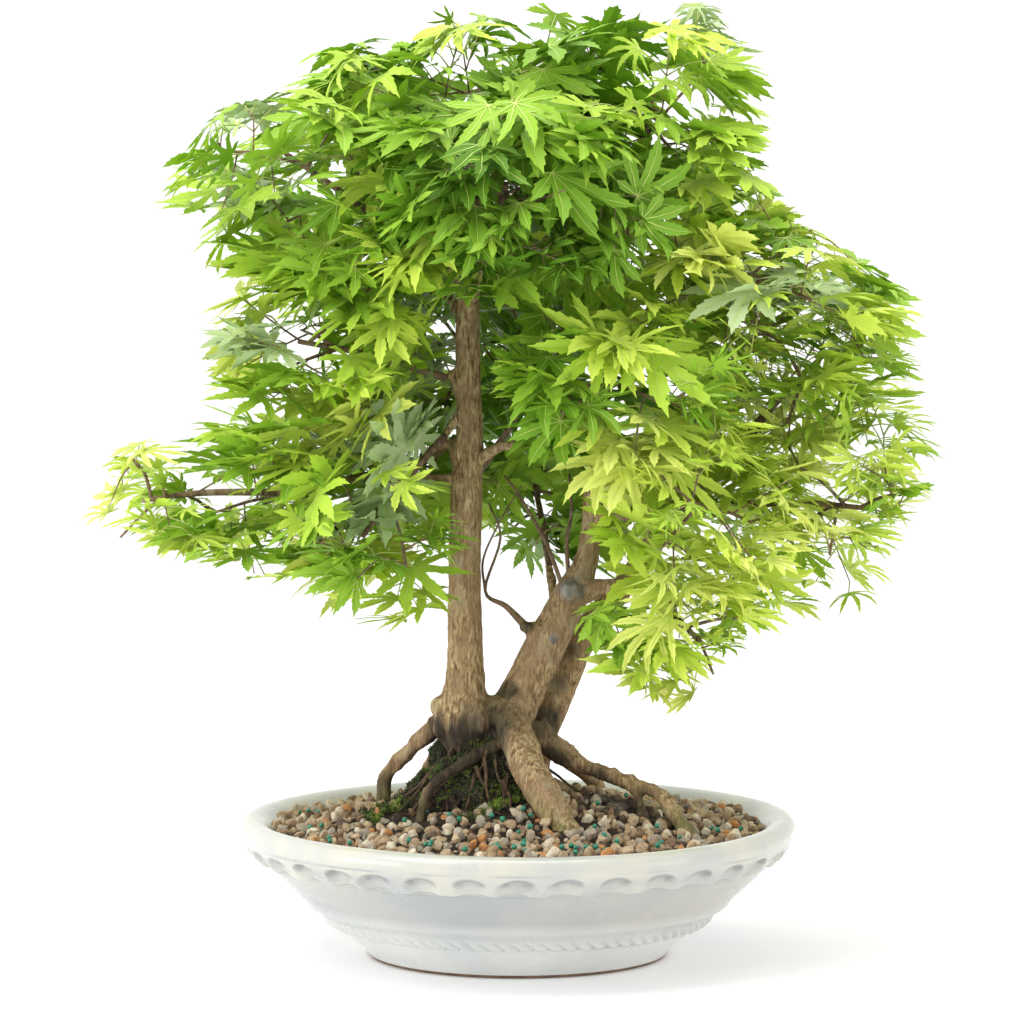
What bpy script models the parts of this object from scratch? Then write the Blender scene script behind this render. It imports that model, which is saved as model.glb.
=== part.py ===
"""A Japanese maple bonsai in a shallow round glazed pot.

Metres, +Z up.  The origin is the centre of the pot's flat underside and the front faces -Y.
The tree is an exposed-root clump.  Its root base and tall left stem are one piece of wood, the
trunk, and a right stem and a rear stem leave the same base.  Boughs leave the stems, and the tip
of each carries one mass of leaves: a stem, its twigs and palmate leaves, fused into one solid.
Each mass keeps to a space of its own, and neighbouring solids stay GAP apart.
"""

import math
import random
from collections import namedtuple

import bmesh
import bpy
from mathutils import Vector
from mathutils.bvhtree import BVHTree

MM = 0.001
GAP = 0.3 * MM
UP = Vector((0, 0, 1))
SEED = 20

# Pot: (radius, height, scallop) in mm, from the underside's rim up the outside and down the inside.
# The scallop is how far the radius swings in and out from one pressed hollow of the rim to the next.
POT_SIDES = 72
POT_OUTSIDE = (
    (77, 0, 0),
    (79, 3.5, 0),
    (94.5, 17.5, 0),
    (100, 19.5, 0),
    (101, 23, 0),
    (110.5, 28.5, 0),
    (129, 47, 0),
    (134.5, 51, 2.2),
    (145, 64, 0),
    (139, 72.8, 0),
)
POT_INSIDE = (
    (130, 71.2, 0),
    (125, 61, 0),
    (110, 37, 0),
    (84, 9, 0),
)
DRAIN_HOLE_R = 8
DRAIN_HOLE_X = 45

# Soil: rings from the plateau under the trunk out to the pot wall, (radius, height) in mm.
# The rings between the radii of SOIL_HEAPED swell up and down by up to SOIL_SWELL, as heaped gravel.
SOIL_SIDES = 36
SOIL_TOP = ((38, 85), (62, 78.5), (82, 74), (104, 71), (128, 69))
SOIL_INSET = 0.4
SOIL_HEAPED = (50, 120)
SOIL_SWELL = 1.5
CUT_BELOW_R = 140
POT_FLOOR = POT_INSIDE[-1][1]

# Stems and roots, rows of (x, y, z, radius) in mm from the foot to the tip.
LEFT_STEM = (
    (-29, -5, 74, 19),
    (-29, -5, 108, 15),
    (-28, -5, 138, 12.6),
    (-27.5, -5, 163, 9.3),
    (-27.5, -5, 212, 8.6),
    (-26.5, -5, 246, 8.2),
    (-25, -5, 273, 7.3),
    (-26, -5, 326, 6.3),
    (-24, -4, 372, 4.6),
    (-22, -3, 394, 3.4),
)
RIGHT_STEM = (
    (-12, -2, 98, 15),
    (-6, -2, 121, 12.5),
    (6, -1, 144, 11.4),
    (16, 1, 165, 10.8),
    (26, 2, 185, 9),
)
REAR_STEM = (
    (4, 14, 92, 11.5),
    (11, 15, 111, 9.4),
    (20, 17, 132, 8.6),
    (28, 18, 151, 7.8),
    (37, 19, 169, 7.2),
)
STUB_ROWS = 3
ROOT_CORE = ((-13, 0, 60, 37), (-13, -1, 84, 31), (-13, -2, 104, 25), (-13, -2, 122, 15))
ROOTS = (
    ((-34, -2, 128, 5.6), (-60, 9, 102, 4), (-69, 14, 90, 4.2), (-72, 16, 66, 5.5)),
    ((-8, -20, 113, 3.6), (-26, -29, 105, 2.8), (-46, -39, 90, 2.5), (-51, -42, 66, 3.6)),
    ((-6, -4, 132, 8.8), (-1, -19, 118, 9.2), (7, -36, 99, 8.8), (17, -52, 84, 8.8), (29, -66, 62, 10)),
    ((8, 2, 118, 8), (27, -5, 102, 5), (58, -16, 92, 4), (75, -31, 85, 4), (92, -58, 60, 4.4)),
    ((57, -15, 92.5, 3), (62, -23, 84, 2.8), (67, -31, 62, 3.4)),
    ((-28, 8, 118, 9), (-44, 38, 94, 6), (-56, 60, 62, 7)),
    ((10, 16, 112, 9), (36, 40, 90, 5.6), (50, 58, 60, 6.6)),
)

# Two more limbs that run up into the crown, in mm as above.
MIDDLE_BOUGH = (
    (35, 4, 203, 6.7),
    (38.5, 5, 222, 5.3),
    (39, 5, 240, 5),
    (42, 5, 278, 4.2),
    (45, 5, 304, 3.7),
    (52, 3, 352, 3),
    (58, 0, 384, 2.6),
)
RIGHT_BOUGH = (
    (50, 18, 185, 6.6),
    (64, 17, 202, 6),
    (78, 16, 224, 5.6),
    (91, 15, 241, 5),
    (110, 13, 258, 4),
)

# Masses of leaves: the centre and the radii of each mass's space in mm, the limb that its bough
# leaves, the height there (None for the limb's tip), and how far the bough arches up.
Space = namedtuple("Space", "name centre radii limb height arch")
SPACES = (
    Space("top_crown", (-20, 6, 442), (84, 78, 49), "trunk", None, 0),
    Space("top_left", (-108, -28, 408), (78, 70, 60), "trunk", 345, 6),
    Space("upper_back_left", (-78, 78, 386), (80, 62, 62), "trunk", 322, 8),
    Space("left_mid", (-100, -20, 317), (64, 66, 54), "trunk", 298, 4),
    Space("left_low", (-120, 14, 238), (68, 62, 58), "trunk", 262, 8),
    Space("left_tip", (-183, -5, 238), (58, 44, 44), "trunk", 248, 4),
    Space("left_inner", (-72, -42, 230), (50, 50, 52), "trunk", 286, 2),
    Space("centre_front", (-8, -72, 392), (72, 56, 52), "trunk", 328, 6),
    Space("centre_low", (48, -58, 298), (60, 54, 54), "trunk", 252, 4),
    Space("centre_back", (-28, 84, 314), (72, 62, 62), "trunk", 288, 6),
    Space("low_back", (-72, 76, 242), (58, 52, 52), "trunk", 268, 4),
    Space("top_right", (68, 0, 438), (76, 74, 53), "middle_bough", None, 0),
    Space("right_upper", (124, -30, 351), (76, 64, 58), "middle_bough", 300, 6),
    Space("right_back", (84, 78, 360), (76, 60, 64), "middle_bough", 284, 6),
    Space("right_mid", (150, 14, 302), (62, 66, 54), "right_bough", None, 0),
    Space("right_out_low", (168, -12, 234), (64, 62, 50), "right_bough", 234, 4),
    Space("right_front_low", (92, -62, 236), (56, 54, 50), "middle_bough", 226, 2),
    Space("right_bottom", (88, -44, 172), (58, 52, 42), "right_bough", 194, 2),
    Space("right_back_low", (98, 78, 248), (66, 56, 58), "right_bough", 204, 4),
    Space("between_stems", (10, 62, 236), (50, 46, 42), "right_stem", 176, -2),
)
SPACE_POWER = 3
CELL_MARGIN = 0.015

# Boughs, and the stem and twigs inside a mass.  The stem runs a little past the middle of its space
# and its far part carries the twigs, whose nodes carry the leaves.
BOUGH_SIDES = 5
BOUGH_ROOT_R = 3.6 * MM
BOUGH_ROOT_SHARE = 0.62
BOUGH_TIP_R = 2.1 * MM
STEM_SIDES = 4
STEM_PAST_CENTRE = 0.2
STEM_BEND_AT = 0.55
STEM_BEND_RISE = 2 * MM
STEM_BEND_R = 1.8 * MM
STEM_END_R = 1.5 * MM
STEM_NODE_DEPTH = 1 * MM
TWIGS = 4
TWIG_SIDES = 3
TWIG_BASES = (0, 0.9)
TWIG_ROOT_R = 1.4 * MM
TWIG_TIP_R = 1.2 * MM
TWIG_REACH = 0.6
TWIG_NODES = (0.25, 0.43, 0.61, 0.79, 0.96)

# Leaf: the five lobes' angles from its middle line, their lengths and the depth of the notches
# between them as shares of the longest lobe, and the lengths in mm that are tried in turn.
LOBES = ((-108, 0.6), (-54, 0.9), (0, 1.0), (54, 0.9), (108, 0.6))
NOTCH = 0.48
SHOULDER_OUT = 0.09
SHOULDER_BACK = 0.05
LEAF_LENGTHS = (56, 50, 44, 38, 33, 29)
LEAF_DROOP = 0.14
LEAF_THICKNESS = 1.6 * MM
MM2_PER_LEAF = 238

# How a leaf's place is tried: the least shares of the space that its tip has to reach, the share
# at which its lobes meet, its swing, dip and tilt, and its stalk's length and slants.
LEAF_TRIES = 22
LEAF_LEASTS = (0.88, 0.58, 0.8)
HUB_REACH = (0.25, 0.95)
LEAF_SWING = 45
LEAF_DIPS = (5, 65)
DIP_LOST_AT_TOP = 0.6
LEAF_TILT = 0.4
NODES_TRIED = 3
STALK_LENGTHS = (5 * MM, 42 * MM)
STALK_LEAST_AHEAD = -0.1
STALK_MOST_ACROSS = 0.5
STALK_CLEAR_FROM = 0.35
ROOT_DEPTH = 0.7 * MM


def curve_through(rows, steps):
    """Points of a Catmull-Rom curve through `rows`, `steps` to a span."""
    rows = [2 * rows[0] - rows[1], *rows, 2 * rows[-1] - rows[-2]]
    curve = []
    for before, start, end, after in zip(rows, rows[1:], rows[2:], rows[3:]):
        for i in range(steps):
            t = i / steps
            bend = 2 * before - 5 * start + 4 * end - after
            twist = 3 * start - before - 3 * end + after
            curve.append(start + 0.5 * ((end - before) * t + bend * t**2 + twist * t**3))
    curve.append(rows[-2].copy())
    return curve


class Limb:
    """A tapering round limb along a smooth curve through rows of (x, y, z, radius) in metres."""

    def __init__(self, rows, sides, steps, start=None):
        curve = curve_through([Vector(row) for row in rows], steps)
        self.sides = sides
        self.path = [row.xyz for row in curve]
        self.radii = [row.w for row in curve]
        self.ways = []
        for i in range(len(self.path)):
            ahead = self.path[min(i + 1, len(self.path) - 1)]
            self.ways.append((ahead - self.path[max(i - 1, 0)]).normalized())
        if start:
            self.ways[0] = start[0]
        side = start[1] if start else self.ways[0].orthogonal()
        self.across = []
        for way in self.ways:
            side = (side - way * side.dot(way)).normalized()
            self.across.append(side)

    def solid(self, grow=0.0):
        """Vertices and faces of the limb as a closed tube, `grow` bigger all round."""
        points = []
        last = len(self.path) - 1
        rings = zip(self.path, self.radii, self.ways, self.across)
        for i, (centre, radius, way, side) in enumerate(rings):
            centre = centre + way * grow * ((i == last) - (i == 0))
            over = way.cross(side)
            for k in range(self.sides):
                angle = math.tau * k / self.sides
                out = side * math.cos(angle) + over * math.sin(angle)
                points.append(centre + out * (radius + grow))
        faces = [list(range(self.sides))[::-1], list(range(last * self.sides, len(points)))]
        for i in range(last):
            for k in range(self.sides):
                a = i * self.sides + k
                b = i * self.sides + (k + 1) % self.sides
                faces.append([a, b, b + self.sides, a + self.sides])
        return points, faces

    def joint(self):
        """Where the next limb starts: the place, direction and sideways direction at the tip."""
        return self.path[-1] + self.ways[-1] * GAP, (self.ways[-1], self.across[-1]), self.radii[-1]

    def at_height(self, z):
        """The place and radius on the centre line at the height z."""
        for i in range(len(self.path) - 1):
            low, high = self.path[i].z, self.path[i + 1].z
            if low <= z <= high:
                t = (z - low) / (high - low)
                centre = self.path[i].lerp(self.path[i + 1], t)
                return centre, self.radii[i] * (1 - t) + self.radii[i + 1] * t
        raise ValueError("the limb does not reach that height")


def in_metres(rows):
    """The rows of a table in mm, as rows in metres."""
    return [tuple(value * MM for value in row) for row in rows]


def material(name, colour, roughness, coat=0.0):
    """A Principled material of one plain colour."""
    made = bpy.data.materials.new(name)
    made.use_nodes = True
    shader = made.node_tree.nodes["Principled BSDF"]
    shader.inputs["Base Color"].default_value = (*colour, 1.0)
    shader.inputs["Roughness"].default_value = roughness
    shader.inputs["Coat Weight"].default_value = coat
    return made


def new_object(name, solid, finish=None, group=None):
    """An object made from a solid's vertices and faces, with its faces turned outwards."""
    mesh = bpy.data.meshes.new(name)
    mesh.from_pydata([tuple(v) for v in solid[0]], [], solid[1])
    work = bmesh.new()
    work.from_mesh(mesh)
    bmesh.ops.recalc_face_normals(work, faces=work.faces)
    if work.calc_volume(signed=True) < 0:
        bmesh.ops.reverse_faces(work, faces=work.faces)
    work.to_mesh(mesh)
    work.free()
    if finish:
        mesh.materials.append(finish)
    made = bpy.data.objects.new(name, mesh)
    (group or bpy.context.scene.collection).objects.link(made)
    return made


def apply_modifiers(thing):
    """Replace an object's mesh by its evaluated mesh."""
    bpy.context.view_layer.update()
    seen = thing.evaluated_get(bpy.context.evaluated_depsgraph_get())
    mesh = bpy.data.meshes.new_from_object(seen)
    thing.modifiers.clear()
    thing.data = mesh


def keep_main_body(thing):
    """Drop loose scraps and sealed hollows: only the largest closed shell stays."""
    work = bmesh.new()
    work.from_mesh(thing.data)
    bmesh.ops.triangulate(work, faces=work.faces)
    left = set(work.faces)
    shells = []
    while left:
        shell = {left.pop()}
        edge_on = list(shell)
        while edge_on:
            face = edge_on.pop()
            for edge in face.edges:
                for other in edge.link_faces:
                    if other in left and len(edge.link_faces) == 2:
                        left.remove(other)
                        shell.add(other)
                        edge_on.append(other)
        volume = sum(f.verts[0].co.dot(f.verts[1].co.cross(f.verts[2].co)) for f in shell)
        shells.append((volume, len(shells), shell))
    main = max(shells)[2]
    bmesh.ops.delete(work, geom=[f for f in work.faces if f not in main], context="FACES")
    work.to_mesh(thing.data)
    work.free()


def fuse(thing, solids, solver):
    """Join closed solids to an object by one Boolean union on a collection of them."""
    group = bpy.data.collections.new(thing.name + "_pieces")
    bpy.context.scene.collection.children.link(group)
    for i, solid in enumerate(solids):
        new_object(f"{thing.name}_piece_{i}", solid, group=group)
    union = thing.modifiers.new("fuse", "BOOLEAN")
    union.operation = "UNION"
    union.operand_type = "COLLECTION"
    union.collection = group
    union.solver = solver
    apply_modifiers(thing)
    for piece in list(group.objects):
        bpy.data.objects.remove(piece)
    bpy.data.collections.remove(group)
    keep_main_body(thing)


def cut(thing, solid):
    """Take a closed solid away from an object."""
    cutter = new_object(thing.name + "_cutter", solid)
    cutter.hide_render = True
    cutter.display_type = "WIRE"
    difference = thing.modifiers.new("cut", "BOOLEAN")
    difference.operation = "DIFFERENCE"
    difference.object = cutter
    apply_modifiers(thing)
    bpy.data.objects.remove(cutter)
    keep_main_body(thing)


def turned(rows, sides):
    """A solid of revolution from (radius, height, scallop) rows, closed on the axis at both ends."""
    points = [Vector((0, 0, rows[0][1]))]
    for radius, height, scallop in rows:
        for k in range(sides):
            angle = math.tau * k / sides
            swing = radius + scallop * (-1) ** k
            points.append(Vector((swing * math.cos(angle), swing * math.sin(angle), height)))
    points.append(Vector((0, 0, rows[-1][1])))
    faces = []
    for k in range(sides):
        after = (k + 1) % sides
        faces.append([0, 1 + after, 1 + k])
        for i in range(len(rows) - 1):
            low, high = 1 + i * sides, 1 + (i + 1) * sides
            faces.append([low + k, low + after, high + after, high + k])
        top = 1 + (len(rows) - 1) * sides
        faces.append([top + k, top + after, len(points) - 1])
    return [p * MM for p in points], faces


def pot(glaze):
    """The pot, with two drain holes beside the middle of its floor."""
    body = new_object("pot", turned(POT_OUTSIDE + POT_INSIDE, POT_SIDES), glaze)
    for x in (-DRAIN_HOLE_X, DRAIN_HOLE_X):
        hole = turned(((DRAIN_HOLE_R, -2, 0), (DRAIN_HOLE_R, POT_FLOOR + 2, 0)), 16)
        cut(body, ([p + Vector((x * MM, 0, 0)) for p in hole[0]], hole[1]))
    return body


def soil_rows(lift):
    """The soil's top as rows from the wall to the axis, raised by `lift` mm."""
    return [(radius, height + lift, 0) for radius, height in reversed(SOIL_TOP)]


def heaped(solid):
    """The solid in triangles, with its ground swelling up and down between the radii of SOIL_HEAPED."""
    points, faces = solid
    for p in points:
        x, y, z = p / MM
        if SOIL_HEAPED[0] < math.hypot(x, y) < SOIL_HEAPED[1] and z > POT_INSIDE[1][1]:
            p.z += SOIL_SWELL * math.sin(0.29 * x + 0.5) * math.cos(0.23 * y - 0.11 * x) * MM
    return points, [part for face in faces for part in zip(face[:1] * 2, face[1:], face[2:])]


def soil(finish):
    """The soil, which fills the pot's hollow, mounds up under the trunk and lies in gravelly heaps."""
    wall = [(POT_INSIDE[i][0] - SOIL_INSET, POT_INSIDE[i][1] + GAP / MM, 0) for i in (3, 2)]
    return new_object("soil", heaped(turned(wall + soil_rows(0), SOIL_SIDES)), finish)


def below_ground():
    """All that lies below the soil's top raised by the gap, to cut the wood off at the ground."""
    edge = [(CUT_BELOW_R, 0, 0), (CUT_BELOW_R, SOIL_TOP[-1][1] + GAP / MM, 0)]
    return heaped(turned(edge + soil_rows(GAP / MM), SOIL_SIDES))


def trunk(bark):
    """The root base, its exposed roots and the left stem, cut off at the ground."""
    stem = Limb(in_metres(LEFT_STEM), 12, 1)
    parts = [Limb(in_metres(ROOT_CORE), 12, 1)]
    parts += [Limb(in_metres(rows), 7, 2) for rows in ROOTS]
    stubs = [Limb(in_metres(RIGHT_STEM[:STUB_ROWS]), 12, 2)]
    stubs += [Limb(in_metres(REAR_STEM[:STUB_ROWS]), 10, 2)]
    body = new_object("trunk", stem.solid(), bark)
    fuse(body, [part.solid() for part in parts + stubs], "EXACT")
    cut(body, below_ground())
    return stem, stubs


def continued(name, limb, rows, sides, steps, finish):
    """A limb that carries on from the tip of another one, with the gap between their flat ends."""
    place, start, radius = limb.joint()
    made = Limb([(*place, radius), *in_metres(rows)], sides, steps, start)
    new_object(name, made.solid(), finish)
    return made


def share(point, space):
    """How far a point is from a space's centre, as a share of the space's radius that way."""
    parts = (abs((p / MM - c) / r) for p, c, r in zip(point, space.centre, space.radii))
    return sum(part**SPACE_POWER for part in parts) ** (1 / SPACE_POWER)


def bough(space, limb, bark):
    """The bough from a limb to the edge of a mass's space."""
    start, thick = limb.at_height(space.height * MM)
    centre = Vector(space.centre) * MM
    tip = centre + (start - centre) / share(start, space)
    middle = start.lerp(tip, 0.5) + UP * space.arch * MM
    root = min(BOUGH_ROOT_R, BOUGH_ROOT_SHARE * thick)
    rows = [(*start, root), (*middle, (root + BOUGH_TIP_R) / 2), (*tip, BOUGH_TIP_R)]
    made = Limb(rows, BOUGH_SIDES, 2)
    body = new_object(space.name + "_bough", made.solid(), bark)
    cut(body, limb.solid(GAP))
    return made


def tree_of(solid):
    """A search tree of a solid's faces, to find what touches it."""
    return BVHTree.FromPolygons(*solid)


def leaf(root, hub, along, up, length, grow=0.0):
    """A palmate leaf on its stalk as one thin closed solid, thickest where its lobes meet."""
    side = up.cross(along).normalized()
    over = along.cross(side)
    half = LEAF_THICKNESS / 2 + grow
    points = [root, hub + over * half, hub - over * half]
    rim = [hub + (side * SHOULDER_OUT - along * SHOULDER_BACK) * length]
    for i, (angle, reach) in enumerate(LOBES):
        turn = -math.radians(angle)
        way = along * math.cos(turn) + side * math.sin(turn)
        rim.append(hub + (way * reach - over * LEAF_DROOP * reach) * length + way * grow)
        if i + 1 < len(LOBES):
            turn = -math.radians((angle + LOBES[i + 1][0]) / 2)
            way = along * math.cos(turn) + side * math.sin(turn)
            rim.append(hub + way * (NOTCH * length + grow))
    rim.append(hub - (side * SHOULDER_OUT + along * SHOULDER_BACK) * length)
    first = len(points)
    last = first + len(rim) - 1
    points += rim
    faces = [[0, first, 1], [0, 2, first], [0, 1, last], [0, last, 2]]
    for i in range(first, last):
        faces += [[1, i, i + 1], [2, i + 1, i]]
    return points, faces


def fits(points, space):
    """Whether all the points lie in a mass's space and nearer to it than to any other mass."""
    for point in points:
        own = share(point, space)
        if own > 1:
            return False
        if any(share(point, other) < own + CELL_MARGIN for other in SPACES if other is not space):
            return False
    return True


def even_directions(count, rng):
    """Directions spread evenly over a sphere, turned by a random angle."""
    turn = rng.uniform(0, math.tau)
    for i in range(count):
        z = 1 - (2 * i + 1) / count
        flat = math.sqrt(1 - z * z)
        angle = turn + i * math.pi * (3 - math.sqrt(5))
        yield Vector((flat * math.cos(angle), flat * math.sin(angle), z))


def place_leaf(way, least, space, nodes, trees, rng):
    """The first leaf tried that fits the space towards `way` and touches nothing, or None.

    Its tip reaches at least the share `least` of the way out to the space's edge.
    """
    centre = Vector(space.centre) * MM
    for length in LEAF_LENGTHS:
        for _ in range(LEAF_TRIES):
            reach = rng.uniform(*HUB_REACH)
            hub = centre + Vector([w * r * MM * reach for w, r in zip(way, space.radii)])
            root = rng.choice(sorted(nodes, key=lambda node: (node - hub).length)[:NODES_TRIED])
            swing = math.radians(rng.uniform(-LEAF_SWING, LEAF_SWING))
            angle = math.atan2(way.y, way.x) + swing
            level = Vector((math.cos(angle), math.sin(angle), 0))
            dip = math.radians(rng.uniform(*LEAF_DIPS) * (1 - DIP_LOST_AT_TOP * max(way.z, 0)))
            along = level * math.cos(dip) - UP * math.sin(dip)
            tilt = level.cross(UP) * rng.uniform(-LEAF_TILT, LEAF_TILT)
            up = level * math.sin(dip) + UP * math.cos(dip) + tilt
            stalk = hub - root
            if not STALK_LENGTHS[0] < stalk.length < STALK_LENGTHS[1]:
                continue
            stalk.normalize()
            if stalk.dot(along) < STALK_LEAST_AHEAD:
                continue
            if abs(stalk.dot(up.cross(along))) > STALK_MOST_ACROSS:
                continue
            if share(hub + along * length * MM, space) < least:
                continue
            clear_from = root.lerp(hub, STALK_CLEAR_FROM)
            grown = leaf(clear_from, hub, along, up, length * MM, GAP)
            shape = tree_of(grown)
            if fits(grown[0], space) and not any(shape.overlap(tree) for tree in trees):
                nodes.remove(root)
                return leaf(root - stalk * ROOT_DEPTH, hub, along, up, length * MM)
    return None


def stem_into(space, limb):
    """The stem of a mass, from its bough's tip to a little past the middle of its space."""
    place, start, radius = limb.joint()
    centre = Vector(space.centre) * MM
    end = centre + (centre - place) * STEM_PAST_CENTRE
    bend = place.lerp(end, STEM_BEND_AT) + UP * STEM_BEND_RISE
    rows = [(*place, radius), (*bend, STEM_BEND_R), (*end, STEM_END_R)]
    return Limb(rows, STEM_SIDES, 1, start)


def twigs_on(stem, space, obstacles, rng):
    """Straight twigs from the stem's far part to even targets in the space, clear of obstacles."""
    centre = Vector(space.centre) * MM
    twigs = []
    for way in even_directions(TWIGS, rng):
        goal = centre + Vector([w * r * MM * TWIG_REACH for w, r in zip(way, space.radii)])
        base = stem.path[1].lerp(stem.path[2], rng.uniform(*TWIG_BASES))
        twig = Limb([(*base, TWIG_ROOT_R), (*goal, TWIG_TIP_R)], TWIG_SIDES, 1)
        grown = tree_of(twig.solid(GAP))
        if fits(twig.path, space) and not any(grown.overlap(tree) for tree in obstacles):
            twigs.append(twig)
    return twigs


def mass(space, stem, finish, index, obstacles):
    """One mass of leaves: its stem, the twigs on it and the leaves on their nodes."""
    rng = random.Random(SEED + index)
    twigs = twigs_on(stem, space, obstacles, rng)
    nodes = [stem.path[-1] - stem.ways[-1] * STEM_NODE_DEPTH]
    for twig in twigs:
        nodes += [twig.path[0].lerp(twig.path[1], t) for t in TWIG_NODES]
    trees = obstacles + [tree_of(part.solid()) for part in [stem] + twigs]
    leaves = []
    rx, ry, rz = space.radii
    most = min(len(nodes), round((rx * ry + ry * rz + rz * rx) / 3 / MM2_PER_LEAF))
    for least in LEAF_LEASTS:
        for way in even_directions(most, rng):
            if len(leaves) == most:
                break
            made = place_leaf(way, least, space, nodes, trees, rng)
            if made:
                leaves.append(made)
                trees.append(tree_of(made))
    body = new_object(space.name, stem.solid(), finish)
    fuse(body, [twig.solid() for twig in twigs] + leaves, "MANIFOLD")
    return body


def mesh_tree(thing):
    """A search tree of an object's mesh."""
    points = [v.co for v in thing.data.vertices]
    return BVHTree.FromPolygons(points, [list(p.vertices) for p in thing.data.polygons])


def build():
    """Make every node."""
    for thing in list(bpy.data.objects):
        bpy.data.objects.remove(thing)
    glaze = material("glaze", (0.74, 0.76, 0.74), 0.2, 0.6)
    earth = material("soil", (0.2, 0.14, 0.1), 0.95)
    bark = material("bark", (0.29, 0.22, 0.16), 0.85)
    green = material("leaf", (0.16, 0.36, 0.05), 0.5)
    pot(glaze)
    soil(earth)
    left, stubs = trunk(bark)
    limbs = {"trunk": left}
    limbs["right_stem"] = continued("right_stem", stubs[0], RIGHT_STEM[STUB_ROWS:], 12, 2, bark)
    limbs["rear_stem"] = continued("rear_stem", stubs[1], REAR_STEM[STUB_ROWS:], 10, 2, bark)
    limbs["middle_bough"] = continued("middle_bough", limbs["right_stem"], MIDDLE_BOUGH, 8, 1, bark)
    limbs["right_bough"] = continued("right_bough", limbs["rear_stem"], RIGHT_BOUGH, 8, 1, bark)
    tips = {}
    for space in SPACES:
        limb = limbs[space.limb]
        tips[space.name] = bough(space, limb, bark) if space.height else limb
    stems = [stem_into(space, tips[space.name]) for space in SPACES]
    made = [mesh_tree(thing) for thing in bpy.data.objects]
    for index, (space, stem) in enumerate(zip(SPACES, stems)):
        later = [tree_of(other.solid()) for other in stems[index + 1:]]
        body = mass(space, stem, green, index, made + later)
        made.append(mesh_tree(body))


build()
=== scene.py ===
"""Looks of the potted bonsai Japanese maple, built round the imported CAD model.

Metres, in the CAD model's frame: the origin is the centre of the pot's underside, +Z is up and the
front faces -Y.  Tables are in mm.  The pot, the gravel, the bark and the foliage are each built here
in mesh code.  The foliage grows on from the limbs by the source's rule and goes on to finer shoots
and whole leaves.
"""

import math
import random
from collections import namedtuple

import bmesh
import bpy
import numpy as np
from mathutils import Euler, Matrix, Vector, noise
from mathutils.kdtree import KDTree


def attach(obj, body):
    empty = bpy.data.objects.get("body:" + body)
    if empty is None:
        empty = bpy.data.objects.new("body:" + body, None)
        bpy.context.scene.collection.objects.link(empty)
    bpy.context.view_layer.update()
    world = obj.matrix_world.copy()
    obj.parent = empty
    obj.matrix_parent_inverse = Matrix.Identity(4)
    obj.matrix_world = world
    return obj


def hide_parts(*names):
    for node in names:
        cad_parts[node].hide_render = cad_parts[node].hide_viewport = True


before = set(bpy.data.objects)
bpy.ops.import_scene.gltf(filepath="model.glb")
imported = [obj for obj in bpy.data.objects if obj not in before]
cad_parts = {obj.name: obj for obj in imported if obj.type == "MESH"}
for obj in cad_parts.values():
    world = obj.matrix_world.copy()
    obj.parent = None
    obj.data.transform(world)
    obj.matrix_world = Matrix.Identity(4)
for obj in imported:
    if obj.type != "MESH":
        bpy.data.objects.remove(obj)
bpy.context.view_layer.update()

MM = 0.001
UP = Vector((0, 0, 1))
SEED = 20
ROOT = "root"

# Camera: what it looks at, its elevation in degrees, its distance and its lens in mm.
CAMERA_TARGET = Vector((-0.003, 0, 0.231))
CAMERA_ELEVATION = 3.9
CAMERA_DISTANCE = 2.2
CAMERA_LENS = 149

# Stems and roots, rows of (x, y, z, radius) from the foot to the tip.
LEFT_STEM = (
    (-29, -5, 74, 19), (-29, -5, 108, 15), (-28, -5, 138, 12.6), (-27.5, -5, 163, 9.3),
    (-27.5, -5, 212, 8.6), (-26.5, -5, 246, 8.2), (-25, -5, 273, 7.3), (-26, -5, 326, 6.3),
    (-24, -4, 372, 4.6), (-22, -3, 394, 3.4),
)
RIGHT_STEM = (
    (-12, -2, 98, 15), (-6, -2, 121, 12.5), (6, -1, 144, 11.4), (16, 1, 165, 10.8), (26, 2, 185, 9),
)
REAR_STEM = (
    (4, 14, 92, 11.5), (11, 15, 111, 9.4), (20, 17, 132, 8.6), (28, 18, 151, 7.8),
    (37, 19, 169, 7.2),
)
MIDDLE_BOUGH = (
    (35, 4, 203, 6.7), (38.5, 5, 222, 5.3), (39, 5, 240, 5), (42, 5, 278, 4.2), (45, 5, 304, 3.7),
    (52, 3, 352, 3), (58, 0, 384, 2.6),
)
RIGHT_BOUGH = (
    (50, 18, 185, 6.6), (64, 17, 202, 6), (78, 16, 224, 5.6), (91, 15, 241, 5), (110, 13, 258, 4),
)
# The feet that the bark gives the left and the rear stem.
LEFT_FOOT = (
    (-26, -8, 105, 7), (-27, -8, 111, 11), (-28.5, -6, 121, 14.4), (-28, -5, 133, 13.2),
    (-27.5, -5, 144, 10.8),
)
LEFT_FOOT_JOINS = 3
REAR_FOOT = ((-3, 12, 72, 14),)
# The right stem's low branch, along the stem inside right_bottom.
LOW_BRANCH = ((27, 0, 186, 6), (43, -5, 192, 4.9), (62, -16, 192, 3.6), (84, -34, 186, 2.2))
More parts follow.
